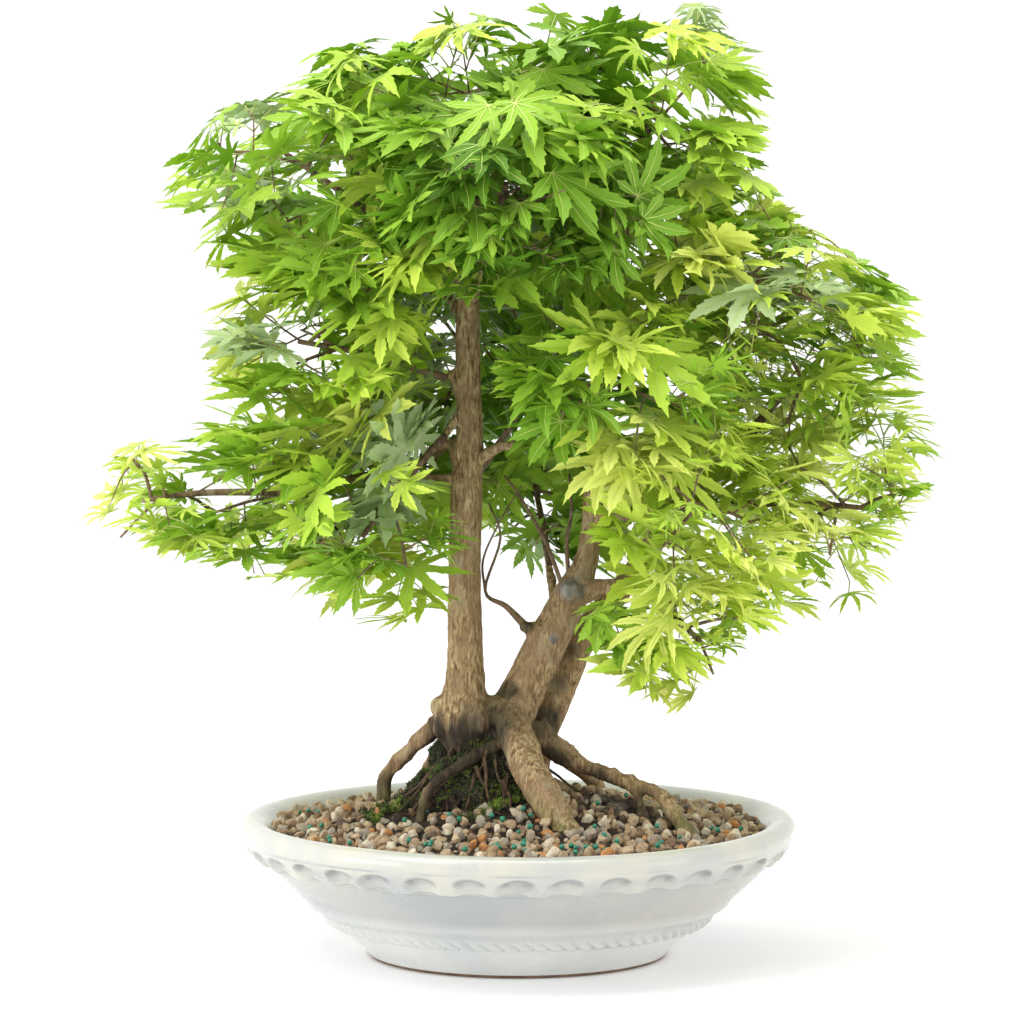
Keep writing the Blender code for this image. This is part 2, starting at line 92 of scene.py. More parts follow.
# Thin twigs that stand alone between the stems.
FINE_TWIGS = (
    ((24, 3, 190, 1.3), (14, 6, 216, 1.0), (0, 10, 240, 0.8), (-7, 14, 249, 0.5)),
    ((27, 4, 192, 1.3), (25.5, 8, 214, 1.1), (28, 12, 230, 0.9), (27, 16, 250, 0.6)),
    ((4, -5, 172, 2.4), (-6, -2, 182, 1.6), (-17, 2, 190, 0.9), (-9, 6, 217, 0.7), (-15, 8, 235, 0.5)),
    ((-17, 2, 190, 0.8), (-18, 4, 206, 0.6), (-9, 8, 226, 0.5), (2, 10, 244, 0.4)),
    ((-19, -5, 254, 2.2), (-7, -8, 271, 1.7), (1, -12, 284, 1.2), (6, -20, 300, 0.8)),
)
ROOT_CORE = ((-13, 0, 60, 37), (-13, -1, 84, 31), (-13, -2, 104, 25), (-13, -2, 122, 15))
ROOT_BALL_INSET = 3
ROOTS = (
    ((-34, -2, 128, 5.6), (-60, 9, 102, 4), (-69, 14, 90, 4.2), (-72, 16, 66, 5.5)),
    ((-8, -20, 113, 3.6), (-26, -29, 105, 2.8), (-46, -39, 90, 2.5), (-51, -42, 66, 3.6)),
    ((-6, -4, 132, 8.8), (-1, -19, 118, 9.2), (7, -36, 99, 8.8), (17, -52, 84, 8.8), (29, -66, 62, 10)),
    ((8, 2, 118, 8), (27, -5, 102, 5), (58, -16, 92, 4), (75, -31, 85, 4), (92, -58, 60, 4.4)),
    ((57, -15, 92.5, 3), (62, -23, 84, 2.8), (67, -31, 62, 3.4)),
    ((-28, 8, 118, 9), (-44, 38, 94, 6), (-56, 60, 62, 7)),
    ((10, 16, 112, 9), (36, 40, 90, 5.6), (50, 58, 60, 6.6)),
)
# Swellings merged with the bark and with the root ball: centre, radii and turn in degrees.
BURRS = (
    ((-41, -7, 130.5), (4.6, 5.5, 5.5)), ((-38, -10, 122), (5.5, 7, 9), (0, 14, 0)),
    ((-21, -14, 125), (8, 6, 10)), ((-12, -8, 128), (9, 9, 9)),
    ((1, -9, 130), (9.5, 8, 9), (0, 30, 0)), ((27, -2, 189), (8, 8, 7.5)),
    ((8, -5, 168), (4.5, 5, 7)), ((3.5, -6, 172), (3, 4, 3.5)), ((-26, -7, 342), (6, 5, 6)),
    ((-29, -6, 297), (6, 6, 8)), ((-30, -6, 262), (6, 6, 8)), ((40, 5, 262), (5, 5, 6)),
)
ROOT_MOUNDS = (
    ((-29, -5, 88), (18, 17, 20)), ((-46, 2, 76), (20, 18, 11), (0, -8, 0)),
    ((-22, -26, 82), (20, 15, 13), (-12, 0, 0)), ((-30, -22, 94), (14, 10, 12)),
    ((-37, 3, 96), (10, 15, 17)), ((-44, 8, 82), (14, 16, 13)),
)
# Coloured places, rows of (x, y, z, radius): painted shade on the bark, healed cuts, painted shade on
# the gravel and bright moss.
# Painted shade on the bark: darker spots in the crotches, at the stems' feet and under the roots.
PAINTED_SHADE_SPOTS = (
    (-12, -15, 118, 21), (-27, -18, 103, 19), (-4, -8, 137, 9), (16, -16, 103, 17),
    (14, 2, 120, 16), (21, 2, 141, 11), (27, 6, 158, 9), (-72, 14, 80, 17), (48, -8, 84, 15),
    (86, -40, 66, 15), (-50, -41, 80, 14), (-28, 8, 96, 26), (40, -10, 90, 13), (64, -24, 78, 14),
    (4, -9, 173, 6), (31, 6, 173, 7),
)
SCARS = ((28, -8, 192, 9), (19, -10, 166, 3.5))
SHADED_GRAVEL = ((44, -8, 84, 17), (60, -15, 80, 15), (76, -29, 74, 12))
BRIGHT_MOSS = ((2, -30, 90, 17), (-6, -38, 84, 9), (-60, -6, 84, 8))

# Soil: rings from the trunk to the pot's wall, (radius, height); it is heaped between two radii.
SOIL_TOP = ((0, 85), (38, 85), (62, 78.5), (82, 74), (104, 71), (128, 69))
SOIL_HEAPED = (50, 120)
SOIL_SWELL = 1.5
SOIL_RINGS = 46
SOIL_SIDES = 144
SOIL_R = 127.4
# Gravel coats: name, spacing, radii of the pebbles, height over the soil and weights of the stones.
GRAVEL = (
    ("gravel_bed", 5.9, (2.1, 3.3), -3.2, (16, 26, 20, 26, 2, 5, 16)),
    ("gravel_top", 8.4, (2.7, 4.3), -1.3, (26, 20, 17, 11, 16, 6, 4)),
)
GRAVEL_R = 129.6
GRAINS = 60
ROOTLETS = 46
# The mossy patch on the soil: its centre and its radii.
MOSSY = (-31, -18, 46, 38)

# Pot: profile from the middle of the underside, up the outside and down the inside, (radius, height).
POT_PROFILE = (
    (40, 0.6), (70, 0.6), (73.5, 0.2), (75.5, 0), (77.2, 0.5), (78.2, 1.9), (79.2, 3.6), (84.5, 8.5),
    (90, 13.6), (93, 16.2), (94.6, 17.3), (97, 17.7), (99.2, 18.6), (100.6, 20), (101.2, 21.6),
    (101.8, 23), (103.4, 24.4), (106, 25.8), (108.6, 27), (110.2, 28), (111.2, 29.4), (113, 31.8),
    (116.6, 35.2), (120.6, 38.8), (124.6, 42.4), (128, 45.8), (130.4, 48.4), (131.6, 49.8),
    (132.4, 50.3), (134, 50.5), (135.6, 51.2), (137, 52.6), (138.4, 54.4), (139.8, 56.4),
    (141.1, 58.4), (142.4, 60.4), (143.6, 62.2), (144.5, 63.8), (144.9, 65.4), (144.8, 67.2),
    (144.3, 68.8), (143.4, 70.3), (142.2, 71.5), (140.6, 72.3), (138.8, 72.6), (136.8, 72.4),
    (134.8, 71.8), (132.8, 70.8), (131, 69.4), (129.4, 67.4), (127, 65), (125, 61), (120, 53),
    (110, 37), (100, 26), (90, 15), (84, 10), (76, 9.2), (40, 9),
)
POT_SIDES = 648
POT_ROW = 4
POT_FINE_ROW = 0.9
FOOT_LINE = 1.5
DRAIN_HOLE_R = 8
DRAIN_HOLE_X = 45
# Pressed hollows in the band under the rim; the half width is a share of their spacing.
THUMBS = 36
THUMB_BAND = (50.2, 66)
THUMB_Z = 55.8
THUMB_HALF_Z = 4.8
THUMB_HALF_WIDTH = 0.36
THUMB_DEPTH = 3.3
THUMB_LIP = 0.55
# Twisted rope on the lower ledge: its strands, heights, radii, middle and slant in strands per mm.
ROPE_TURNS = 81
ROPE_BAND = (17.3, 23)
ROPE_RADII = (95, 103)
ROPE_Z = 20
ROPE_SLANT = 0.17

Space = namedtuple("Space", "name centre radii limb height arch")
SPACES = [Space(*row) for row in (
    ("top_crown", (-20, 6, 442), (84, 78, 49), "trunk", None, 0),
    ("top_left", (-108, -28, 408), (78, 70, 60), "trunk", 345, 6),
    ("upper_back_left", (-78, 78, 386), (80, 62, 62), "trunk", 322, 8),
    ("left_mid", (-100, -20, 317), (64, 66, 54), "trunk", 298, 4),
    ("left_low", (-120, 14, 238), (68, 62, 58), "trunk", 262, 8),
    ("left_tip", (-183, -5, 238), (58, 44, 44), "trunk", 248, 4),
    ("left_inner", (-72, -42, 230), (50, 50, 52), "trunk", 286, 2),
    ("centre_front", (-8, -72, 392), (72, 56, 52), "trunk", 328, 6),
    ("centre_low", (48, -58, 298), (60, 54, 54), "trunk", 252, 4),
    ("centre_back", (-28, 84, 314), (72, 62, 62), "trunk", 288, 6),
    ("low_back", (-72, 76, 242), (58, 52, 52), "trunk", 268, 4),
    ("top_right", (68, 0, 438), (76, 74, 53), "middle_bough", None, 0),
    ("right_upper", (124, -30, 351), (76, 64, 58), "middle_bough", 300, 6),
    ("right_back", (84, 78, 360), (76, 60, 64), "middle_bough", 284, 6),
    ("right_mid", (150, 14, 302), (62, 66, 54), "right_bough", None, 0),
    ("right_out_low", (168, -12, 234), (64, 62, 50), "right_bough", 234, 4),
    ("right_front_low", (92, -62, 236), (56, 54, 50), "middle_bough", 226, 2),
    ("right_bottom", (88, -44, 172), (58, 52, 42), "right_bough", 194, 2),
    ("right_back_low", (98, 78, 248), (66, 56, 58), "right_bough", 204, 4),
    ("between_stems", (10, 62, 236), (50, 46, 42), "right_stem", 176, -2),
)]
SPACE_POWER = 3

# Stems and twigs inside a mass, by the source's rule.
BOUGH_ROOT_R = 3.6
BOUGH_TIP_R = 2.1
STEM_PAST_CENTRE = 0.2
STEM_BEND_AT = 0.55
STEM_BEND_R = 1.7
STEM_END_R = 1.3
STEM_NODES = (0.55, 0.75, 0.97)
TWIGS = 4
TWIG_BASES = (0, 0.9)
TWIG_REACH = 0.6
TWIG_NODES = (0.25, 0.43, 0.61, 0.79, 0.96)

# Shoots, which the source leaves to its larger leaves.  A node that is taken seems farther off.
MM2_PER_SHOOT = 300
SHOOT_REACH = (0.6, 0.9)
SHOOT_NODES = (0.3, 0.55, 0.78, 1.0)
SHOOT_INSIDE = 6
TAKEN_NODE = 14
FULLER = {
    "centre_front": 1.6, "centre_low": 1.15, "top_crown": 0.98, "top_left": 0.78, "right_upper": 1.1,
    "right_mid": 1.1, "right_out_low": 1.05, "right_front_low": 1.15, "right_bottom": 1.35,
    "left_tip": 0.6, "left_low": 0.78, "left_mid": 0.95, "right_back": 0.8, "upper_back_left": 0.66,
    "low_back": 0.8, "right_back_low": 0.85,
}

# The crown's sides as seen from the front: height, then the left and the right edge.
EYE = Vector((-0.003, -2.195, 0.3806))
CROWN_EDGES = (
    (130, -40, 80), (139, -45, 92), (149, -62, 100), (170, -92, 120), (180, -102, 168),
    (190, -121, 193), (201, -154, 184), (211, -193, 188), (222, -238, 195), (242, -214, 212),
    (263, -206, 222), (274, -170, 215), (284, -158, 205), (305, -157, 205), (346, -160, 202),
    (377, -165, 152), (398, -187, 126), (418, -166, 124), (440, -147, 124), (460, -127, 128),
    (470, -99, 116), (480, -52, 110), (489, -40, 100),
)
LEAF_OVERHANG = 9
CROWN_X = -0.005
LEAF_SPACE = 1.1

# Leaf: each lobe's angle from the middle line, its length as a share of the longest lobe, its teeth.
LOBES = (
    (-118, 0.38, 1), (-78, 0.74, 3), (-38, 0.93, 4), (0, 1.0, 5), (38, 0.93, 4), (78, 0.74, 3),
    (118, 0.38, 1),
)
LOBE_WIDTHS = (
    (0, 0.07), (0.2, 0.1), (0.4, 0.125), (0.55, 0.112), (0.7, 0.076), (0.82, 0.042), (0.92, 0.017),
    (1, 0),
)
TOOTH_OUT = 1.11
TOOTH_IN = 0.88
SINUS = 0.25
# A rib's stations along its lobe, their half widths, and its height over the blade.
RIB_SHARES = (0.0, 0.35, 0.66, 0.93)
RIB_WIDTHS = (0.3, 0.24, 0.17, 0.05)
RIB_RAISED = 0.28
LEAF_LENGTHS = (26, 44)
YOUNG_SIZE = 0.77
STALK_LENGTHS = (8, 25)

# Leaf colours from deep green to pale yellow green, and a grey green.
TINTS = (
    (0.115, 0.260, 0.016), (0.205, 0.400, 0.027), (0.310, 0.530, 0.040), (0.450, 0.665, 0.060),
    (0.610, 0.765, 0.095), (0.740, 0.815, 0.180), (0.470, 0.600, 0.300),
)
RIB_SLOT = len(TINTS)
# Gravel stones: name, colour and the colour of the flecks.
STONES = (
    ("beige", (0.58, 0.44, 0.275), (0.33, 0.22, 0.125)),
    ("tan", (0.36, 0.24, 0.13), (0.54, 0.41, 0.26)),
    ("grey", (0.35, 0.295, 0.22), (0.56, 0.49, 0.38)),
    ("brown", (0.19, 0.115, 0.062), (0.34, 0.23, 0.14)),
    ("pale", (0.79, 0.70, 0.54), (0.48, 0.37, 0.24)),
    ("rust", (0.62, 0.28, 0.09), (0.34, 0.15, 0.06)),
    ("dark", (0.08, 0.055, 0.036), (0.2, 0.14, 0.09)),
)
# The weights of the tints by place: the first row whose x range and top height hold the spray.
ANY = 999
TINT_ZONES = (
    (-ANY, -150, 300, (0, 0, 1, 11, 21, 11, 1)),
    (40, ANY, 268, (0, 0, 1, 11, 21, 11, 1)),
    (60, ANY, ANY, (0, 2, 8, 17, 16, 6, 4)),
    # This row's paler tints are partly the leaves' own colour and partly painted light, for the
    # stronger light on the left middle of the crown.
    (-ANY, -60, 345, (0, 1, 6, 17, 15, 5, 9)),
    (-ANY, -60, ANY, (0, 6, 17, 16, 5, 2, 8)),
    (-ANY, ANY, 275, (2, 14, 17, 9, 2, 0, 2)),
    (-ANY, ANY, ANY, (4, 18, 17, 7, 2, 0, 2)),
)
# How many sprays are young, narrow and curled, by place in the same way.
YOUNG_ZONES = (
    (75, ANY, 335, 0.85),
    (-ANY, -160, ANY, 0.85),
    (60, ANY, ANY, 0.45),
    (-ANY, ANY, ANY, 0.1),
)

# Lamps: name, place, watts and width in metres.
LAMPS = (
    ("key", (-0.9, -0.7, 1.7), 10, 0.9),
    ("top", (0.0, -0.1, 2.0), 15, 1.2),
    ("left", (-1.8, -1.0, 0.4), 11, 1.0),
    ("right", (1.8, -1.0, 0.5), 5, 1.0),
)


# ---- shapes

class Heap:
    """Many small shapes that become one mesh."""

    def __init__(self):
        self.points = []
        self.faces = []
        self.slots = []
        self.count = 0

    def add(self, points, faces, slot=0):
        self.points.append(np.asarray(points, dtype=float).reshape(-1, 3))
        self.faces += [[self.count + i for i in face] for face in faces]
        self.slots += [slot] * len(faces)
        self.count += len(self.points[-1])

    def limb(self, rows, steps, sides):
        """Add a limb from a table's rows."""
        self.add(*Limb(in_metres(rows), steps).tube(sides))

    def mesh(self, name):
        mesh = bpy.data.meshes.new(name)
        mesh.from_pydata(np.concatenate(self.points).tolist(), [], self.faces)
        return mesh


def linked(name, data):
    """A new object in the scene."""
    thing = bpy.data.objects.new(name, data)
    bpy.context.scene.collection.objects.link(thing)
    return thing


def piece(name, heap, materials, replaces=(), smooth=True):
    """The object made of a heap's shapes, riding with the part."""
    mesh = heap.mesh(name)
    for material in materials:
        mesh.materials.append(material)
    mesh.polygons.foreach_set("material_index", heap.slots)
    mesh.polygons.foreach_set("use_smooth", [smooth] * len(mesh.polygons))
    return placed(linked(name, mesh), replaces)


def placed(thing, replaces=()):
    """Ride an object on the part and hide the CAD parts that it stands for."""
    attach(thing, ROOT)
    if replaces:
        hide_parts(*replaces)
    return thing


def bake_modifiers(thing):
    """Replace an object's mesh by its evaluated mesh."""
    bpy.context.view_layer.update()
    seen = thing.evaluated_get(bpy.context.evaluated_depsgraph_get())
    mesh = bpy.data.meshes.new_from_object(seen)
    thing.modifiers.clear()
    thing.data = mesh


def curve_through(rows, steps):
    """Points of a Catmull-Rom curve through `rows`, `steps` to a span."""
    rows = [2 * rows[0] - rows[1], *rows, 2 * rows[-1] - rows[-2]]
    curve = []
    for before, start, end, after in zip(rows, rows[1:], rows[2:], rows[3:]):
        for i in range(steps):
            t = i / steps
            bend = 2 * before - 5 * start + 4 * end - after
            twist = 3 * start - before - 3 * end + after
            curve.append(start + 0.5 * ((end - before) * t + bend * t**2 + twist * t**3))
    curve.append(rows[-2].copy())
    return curve


def ring_edges(rings, sides):
    """Both ends of each edge round a stack of rings of points."""
    for first in range(0, rings * sides, sides):
        for k in range(sides):
            yield first + k, first + (k + 1) % sides


class Limb:
    """A tapering round limb along a smooth curve through rows of (x, y, z, radius) in metres."""

    def __init__(self, rows, steps):
        curve = curve_through([Vector(row) for row in rows], steps)
        self.path = [row.xyz for row in curve]
        self.radii = [row.w for row in curve]
        ends = list(zip([self.path[0]] + self.path, self.path[1:] + [self.path[-1]]))
        self.ways = [(ahead - behind).normalized() for behind, ahead in ends]

    def tube(self, sides):
        """Vertices and faces of the limb as a closed tube."""
        side = self.ways[0].orthogonal()
        points = []
        for centre, radius, way in zip(self.path, self.radii, self.ways):
            side = (side - way * side.dot(way)).normalized()
            over = way.cross(side)
            for k in range(sides):
                angle = math.tau * k / sides
                points.append(centre + (side * math.cos(angle) + over * math.sin(angle)) * radius)
        last = len(self.path) - 1
        faces = [list(range(sides))[::-1], list(range(last * sides, len(points)))]
        faces += [[a, b, b + sides, a + sides] for a, b in ring_edges(last, sides)]
        return points, faces

    def at_height(self, z):
        """The place and radius on the centre line at the height z."""
        for i in range(len(self.path) - 1):
            low, high = self.path[i].z, self.path[i + 1].z
            if low <= z <= high:
                t = (z - low) / (high - low)
                radius = self.radii[i] * (1 - t) + self.radii[i + 1] * t
                return self.path[i].lerp(self.path[i + 1], t), radius
        raise ValueError("the limb does not reach that height")

    def at(self, t):
        """The place and the direction at the share t of the path."""
        span = t * (len(self.path) - 1)
        i = min(int(span), len(self.path) - 2)
        place, way = (row[i].lerp(row[i + 1], span - i) for row in (self.path, self.ways))
        return place, way.normalized()


def in_metres(rows):
    """The rows of a table in mm, as rows in metres."""
    return [tuple(value * MM for value in row) for row in rows]


def rippled(point, scale, octaves=3):
    """Smooth noise from about -1 to 1 at a point in metres, with features about `scale` mm wide."""
    return noise.fractal(Vector(point) * (1 / (scale * MM)), 1.0, 2.0, octaves)


def jitter(rng, size):
    """A random vector inside a cube that reaches `size` either way."""
    return Vector([rng.uniform(-size, size) for _ in range(3)])


def around(radius, angle):
    return radius * math.cos(angle), radius * math.sin(angle)


def flat(way):
    """The level part of a direction."""
    return Vector((way.x, way.y, 0)).normalized()


def clamped(value, low=0.0, high=1.0):
    return max(low, min(high, value))


def ball(subdivisions):
    """Unit icosphere vertices and faces."""
    work = bmesh.new()
    bmesh.ops.create_icosphere(work, subdivisions=subdivisions, radius=1.0)
    points = np.array([tuple(v.co) for v in work.verts])
    faces = [[v.index for v in face.verts] for face in work.faces]
    work.free()
    return points, faces


# ---- materials

class Nodes:
    """A shader node tree built from values and other nodes' outputs."""

    def __init__(self, tree):
        self.tree = tree

    def feed(self, socket, value):
        """Link a socket to an output, or set its value."""
        if isinstance(value, bpy.types.NodeSocket):
            self.tree.links.new(value, socket)
        else:
            socket.default_value = (*value, 1) if socket.type == "RGBA" else value

    def node(self, kind, out, inputs, **settings):
        """One output of a new node."""
        made = self.tree.nodes.new("ShaderNode" + kind)
        for key, value in settings.items():
            setattr(made, key, value)
        for key, value in inputs.items():
            self.feed(made.inputs[key], value)
        return made.outputs[out]

    def math(self, operation, *values):
        return self.node("Math", 0, dict(enumerate(values)), operation=operation)

    def times(self, product, *factors):
        for factor in factors:
            product = self.math("MULTIPLY", product, factor)
        return product

    def less(self, value):
        """1 less a value."""
        return self.math("SUBTRACT", 1.0, value)

    def mapped(self, value, low, high, start=0, end=1):
        """`start` while the value is below `low`, changing to `end` at `high`."""
        ranges = {"From Min": low, "From Max": high, "To Min": start, "To Max": end}
        return self.node("MapRange", "Result", {"Value": value, **ranges})


class Finish(Nodes):
    """A Principled material built up from noise patterns."""

    def __init__(self, name, colour, roughness, **sockets):
        self.material = bpy.data.materials.new(name)
        self.material.use_nodes = True
        super().__init__(self.material.node_tree)
        self.shader = self.tree.nodes["Principled BSDF"].inputs
        for socket, value in {"Base_Color": colour, "Roughness": roughness, **sockets}.items():
            self.feed(self.shader[socket.replace("_", " ")], value)
        self.where = None

    def place(self, along=1):
        """Object coordinates; patterns are drawn out along Z where `along` is under 1."""
        if self.where is None:
            self.where = self.node("TexCoord", "Object", {})
        return self.node("Mapping", "Vector", {"Vector": self.where, "Scale": (1, 1, along)})

    def axis(self, name):
        return self.node("SeparateXYZ", name, {"Vector": self.place()})

    def span(self, axis, low, high):
        """0 below `low` mm along an axis, rising to 1 at `high`."""
        return self.mapped(self.axis(axis), low * MM, high * MM)

    def height(self, low, high):
        return self.span("Z", low, high)

    def noise(self, scale, detail=4, along=1, roughness=0.5, distortion=0.0):
        look = {"Scale": scale, "Detail": detail, "Roughness": roughness, "Distortion": distortion}
        return self.node("TexNoise", "Fac", {"Vector": self.place(along), **look})

    def cells(self, scale):
        return self.node("TexVoronoi", "Distance", {"Vector": self.place(), "Scale": scale})

    def ramp(self, source, *stops):
        """A colour or grey ramp of (position, value) stops."""
        made = self.tree.nodes.new("ShaderNodeValToRGB")
        elements = made.color_ramp.elements
        while len(elements) < len(stops):
            elements.new(0.5)
        for element, (position, value) in zip(elements, stops):
            element.position = position
            element.color = (*value, 1) if isinstance(value, tuple) else (value, value, value, 1)
        self.feed(made.inputs["Fac"], source)
        return made.outputs["Color"]

    def patches(self, scale, detail, *stops, **look):
        """Noise through a ramp."""
        return self.ramp(self.noise(scale, detail, **look), *stops)

    def near(self, spots):
        """1 in the middle of any of the (x, y, z, radius) spots in mm, 0 outside them."""
        found = None
        for *centre, radius in in_metres(spots):
            away = self.node("VectorMath", "Value", {0: self.place(), 1: centre}, operation="DISTANCE")
            spot = self.mapped(away, 0.6 * radius, radius, 1, 0)
            found = self.math("MAXIMUM", found, spot) if found else spot
        return found

    def mix(self, share, a, b):
        return self.node("Mix", 2, {0: share, 6: a, 7: b}, data_type="RGBA")

    def colour(self, source):
        self.feed(self.shader["Base Color"], source)

    def over(self, share, colour):
        """Lay a colour over the base colour so far."""
        self.colour(self.mix(share, self.shader["Base Color"].links[0].from_socket, colour))

    def bump(self, source, depth, strength=1.0):
        """Bump `depth` mm deep, on top of the bumps so far."""
        normal = self.shader["Normal"]
        inputs = {"Strength": strength, "Distance": depth * MM, "Height": source}
        if normal.links:
            inputs["Normal"] = normal.links[0].from_socket
        self.feed(normal, self.node("Bump", "Normal", inputs))
        return self


def plain(name, colour, roughness, **sockets):
    return Finish(name, colour, roughness, **sockets).material


def mottled(name, colour, roughness, look, stops, relief, **sockets):
    """A material with one pattern of colours and one of relief."""
    made = Finish(name, colour, roughness, **sockets)
    made.colour(made.ramp(made.noise(*look), *stops))
    scale, detail, *depth = relief
    return made.bump(made.noise(scale, detail), *depth).material


def hollow_shade_mask(made):
    """Mask of the painted shade in the hollows under the rim: fading to 0 at each hollow's edge and
    weak in its lower half.
    """
    turn = made.times(made.math("ARCTAN2", made.axis("Y"), made.axis("X")), THUMBS / math.tau)
    across = made.times(made.math("SUBTRACT", turn, made.math("ROUND", turn)), 2.7)
    over = made.times(made.math("SUBTRACT", made.axis("Z"), (THUMB_Z + 1) * MM), 230)
    ring = made.math("ADD", made.times(across, across), made.times(over, over))
    inside = made.ramp(ring, (0.0, 0.25), (0.5, 0.75), (0.95, 0))
    return made.times(inside, made.ramp(made.math("ADD", over, 0.5), (0.2, 0.15), (0.7, 1)))


def glaze_material():
    """Off-white glaze: ivory on the rim, grey where it pools, speckled, with painted shade on the body
    and in the pressed hollows and painted light from the floor on the foot.
    """
    made = Finish("glaze", (0.66, 0.67, 0.64), 0.22, Coat_Weight=0.3, Coat_Roughness=0.12)
    # Painted light and shade: the body's darker grey stands for shade where it faces away from the
    # light above, and the paler foot stands for light thrown up from the floor.
    stops = ((0.32, (0.37, 0.39, 0.395)), (0.52, (0.43, 0.44, 0.425)), (0.7, (0.505, 0.49, 0.435)))
    body = made.patches(14, 5, *stops, distortion=0.4)
    foot = made.patches(20, 4, (0.35, (0.68, 0.70, 0.68)), (0.65, (0.78, 0.78, 0.745)))
    above_bounce_lit_foot = made.ramp(made.height(16, 34), (0.0, 0), (0.25, 0.3), (0.7, 0.55), (1.0, 1))
    made.colour(made.mix(above_bounce_lit_foot, foot, body))
    ivory = made.patches(30, 4, (0.4, 0.25), (0.66, 1))
    band = made.height(50, 51.5)
    made.over(band, made.mix(ivory, (0.50, 0.52, 0.50), (0.62, 0.60, 0.515)))
    below = made.less(made.height(57.5, 61.5))
    pools = made.patches(44, 3, (0.4, 0.15), (0.62, 0.7))
    made.over(made.times(band, below, pools), (0.42, 0.43, 0.43))
    # Painted shade in the upper part of each pressed hollow, under its overhanging edge.
    made.over(made.times(hollow_shade_mask(made), made.height(50.5, 51.5)), (0.22, 0.23, 0.24))
    line = made.times(made.height(61.2, 61.8), made.less(made.height(62.2, 63.2)))
    made.over(made.times(line, made.patches(26, 3, (0.42, 0), (0.6, 0.7))), (0.3, 0.34, 0.38))
    specks = made.ramp(made.cells(520), (0.07, 1), (0.13, 0))
    made.over(made.times(specks, made.patches(60, 2, (0.56, 0), (0.66, 0.6))), (0.42, 0.38, 0.32))
    made.feed(made.shader["Roughness"], made.patches(45, 3, (0.35, 0.16), (0.7, 0.3)))
    made.bump(made.noise(90, 3), 0.5, 0.5)
    return made.bump(made.ramp(made.cells(430), (0.0, 0), (0.12, 1)), 0.15, 0.4).material


def foot_marks(made):
    """The left stem's dark foot, painted shade in the crotches, at the stems' feet and under the roots,
    and the healed cuts.
    """
    inside = made.times(made.span("X", -50, -44), made.less(made.span("X", -14, -5)))
    edge = made.patches(170, 3, (0.35, 0), (0.7, 0.5), along=0.1)
    ragged = made.ramp(made.math("ADD", made.height(113, 141), edge), (0.35, 0), (0.75, 1))
    fibres = made.patches(500, 3, (0.5, 0), (0.7, 0.6), along=0.2)
    dark = made.mix(fibres, (0.035, 0.022, 0.013), (0.14, 0.09, 0.05))
    made.over(made.times(inside, made.less(ragged)), dark)
    # Painted shade: the bark is darkened where shade falls in the crotches and under the roots.
    painted_shade = made.times(made.near(PAINTED_SHADE_SPOTS), made.patches(150, 4, (0.3, 1), (0.7, 0.55), along=0.4))
    stops = ((0.4, (0.02, 0.015, 0.008)), (0.72, (0.13, 0.1, 0.05)))
    made.over(painted_shade, made.patches(380, 4, *stops, along=0.3))
    scar = made.times(made.near(SCARS), made.patches(260, 4, (0.35, 0.3), (0.6, 0.95)))
    made.over(scar, made.patches(190, 3, (0.35, (0.13, 0.12, 0.12)), (0.65, (0.36, 0.35, 0.34))))


def bark_material(name, tones, moss_height, moss, marks=None):
    """Bark with fibres along the stem, flecks, and green algae and moss low down."""
    made = Finish(name, tones[1], 0.82)
    stops = zip((0.38, 0.495, 0.61), tones)
    made.colour(made.patches(640, 7, *stops, along=0.24, roughness=0.7, distortion=0.4))
    blotches = {"along": 0.6, "roughness": 0.6, "distortion": 0.8}
    made.over(made.patches(55, 5, (0.42, 0), (0.62, 0.7), **blotches), (0.32, 0.2, 0.11))
    made.over(made.patches(120, 4, (0.55, 0), (0.68, 0.55), along=0.5), (0.46, 0.38, 0.245))
    if marks:
        marks(made)
    algae = made.patches(75, 5, (0.44, 0), (0.6, 1))
    made.over(made.times(algae, made.less(made.height(moss_height, moss_height + 26)), 0.7), moss)
    made.bump(made.noise(160, 5, 0.3, 0.6), 1.3, 0.7)
    return made.bump(made.noise(900, 5, 0.35, 0.65), 0.6, 0.7).material


def moss_material():
    made = Finish("moss", (0.08, 0.15, 0.02), 0.95, Sheen_Weight=0.3)
    lit = made.math("ADD", made.noise(110, 4), made.times(made.near(BRIGHT_MOSS), 0.22))
    stops = ((0.38, (0.022, 0.036, 0.004)), (0.54, (0.07, 0.115, 0.01)), (0.7, (0.24, 0.36, 0.03)))
    made.colour(made.ramp(lit, *stops))
    return made.bump(made.noise(1500, 3), 0.6).material


def stone_material(name, colour, fleck):
    """Gravel of one base tone with a finer fleck, darkened with painted shade under the right root."""
    made = Finish(name, colour, 0.7)
    flecks = made.patches(520, 5, (0.45, 0), (0.68, 1), roughness=0.7)
    made.colour(made.mix(flecks, colour, fleck))
    # Painted shade: the pebbles under the right root are darkened.
    made.over(made.times(made.near(SHADED_GRAVEL), 0.85), (0.022, 0.015, 0.009))
    return made.bump(made.noise(1400, 4), 0.4, 0.6).material


# ---- pot

def close_rows(rows):
    """Rows of a profile, closer together where it has fine relief."""
    made = []
    for (r0, z0), (r1, z1) in zip(rows, rows[1:]):
        fine = r0 > 92 and (49.5 < z0 < 64 or 16.5 < z0 < 25)
        steps = max(1, math.ceil(math.hypot(r1 - r0, z1 - z0) / (POT_FINE_ROW if fine else POT_ROW)))
        made += [(r0 + (r1 - r0) * i / steps, z0 + (z1 - z0) * i / steps) for i in range(steps)]
    return made + [rows[-1]]


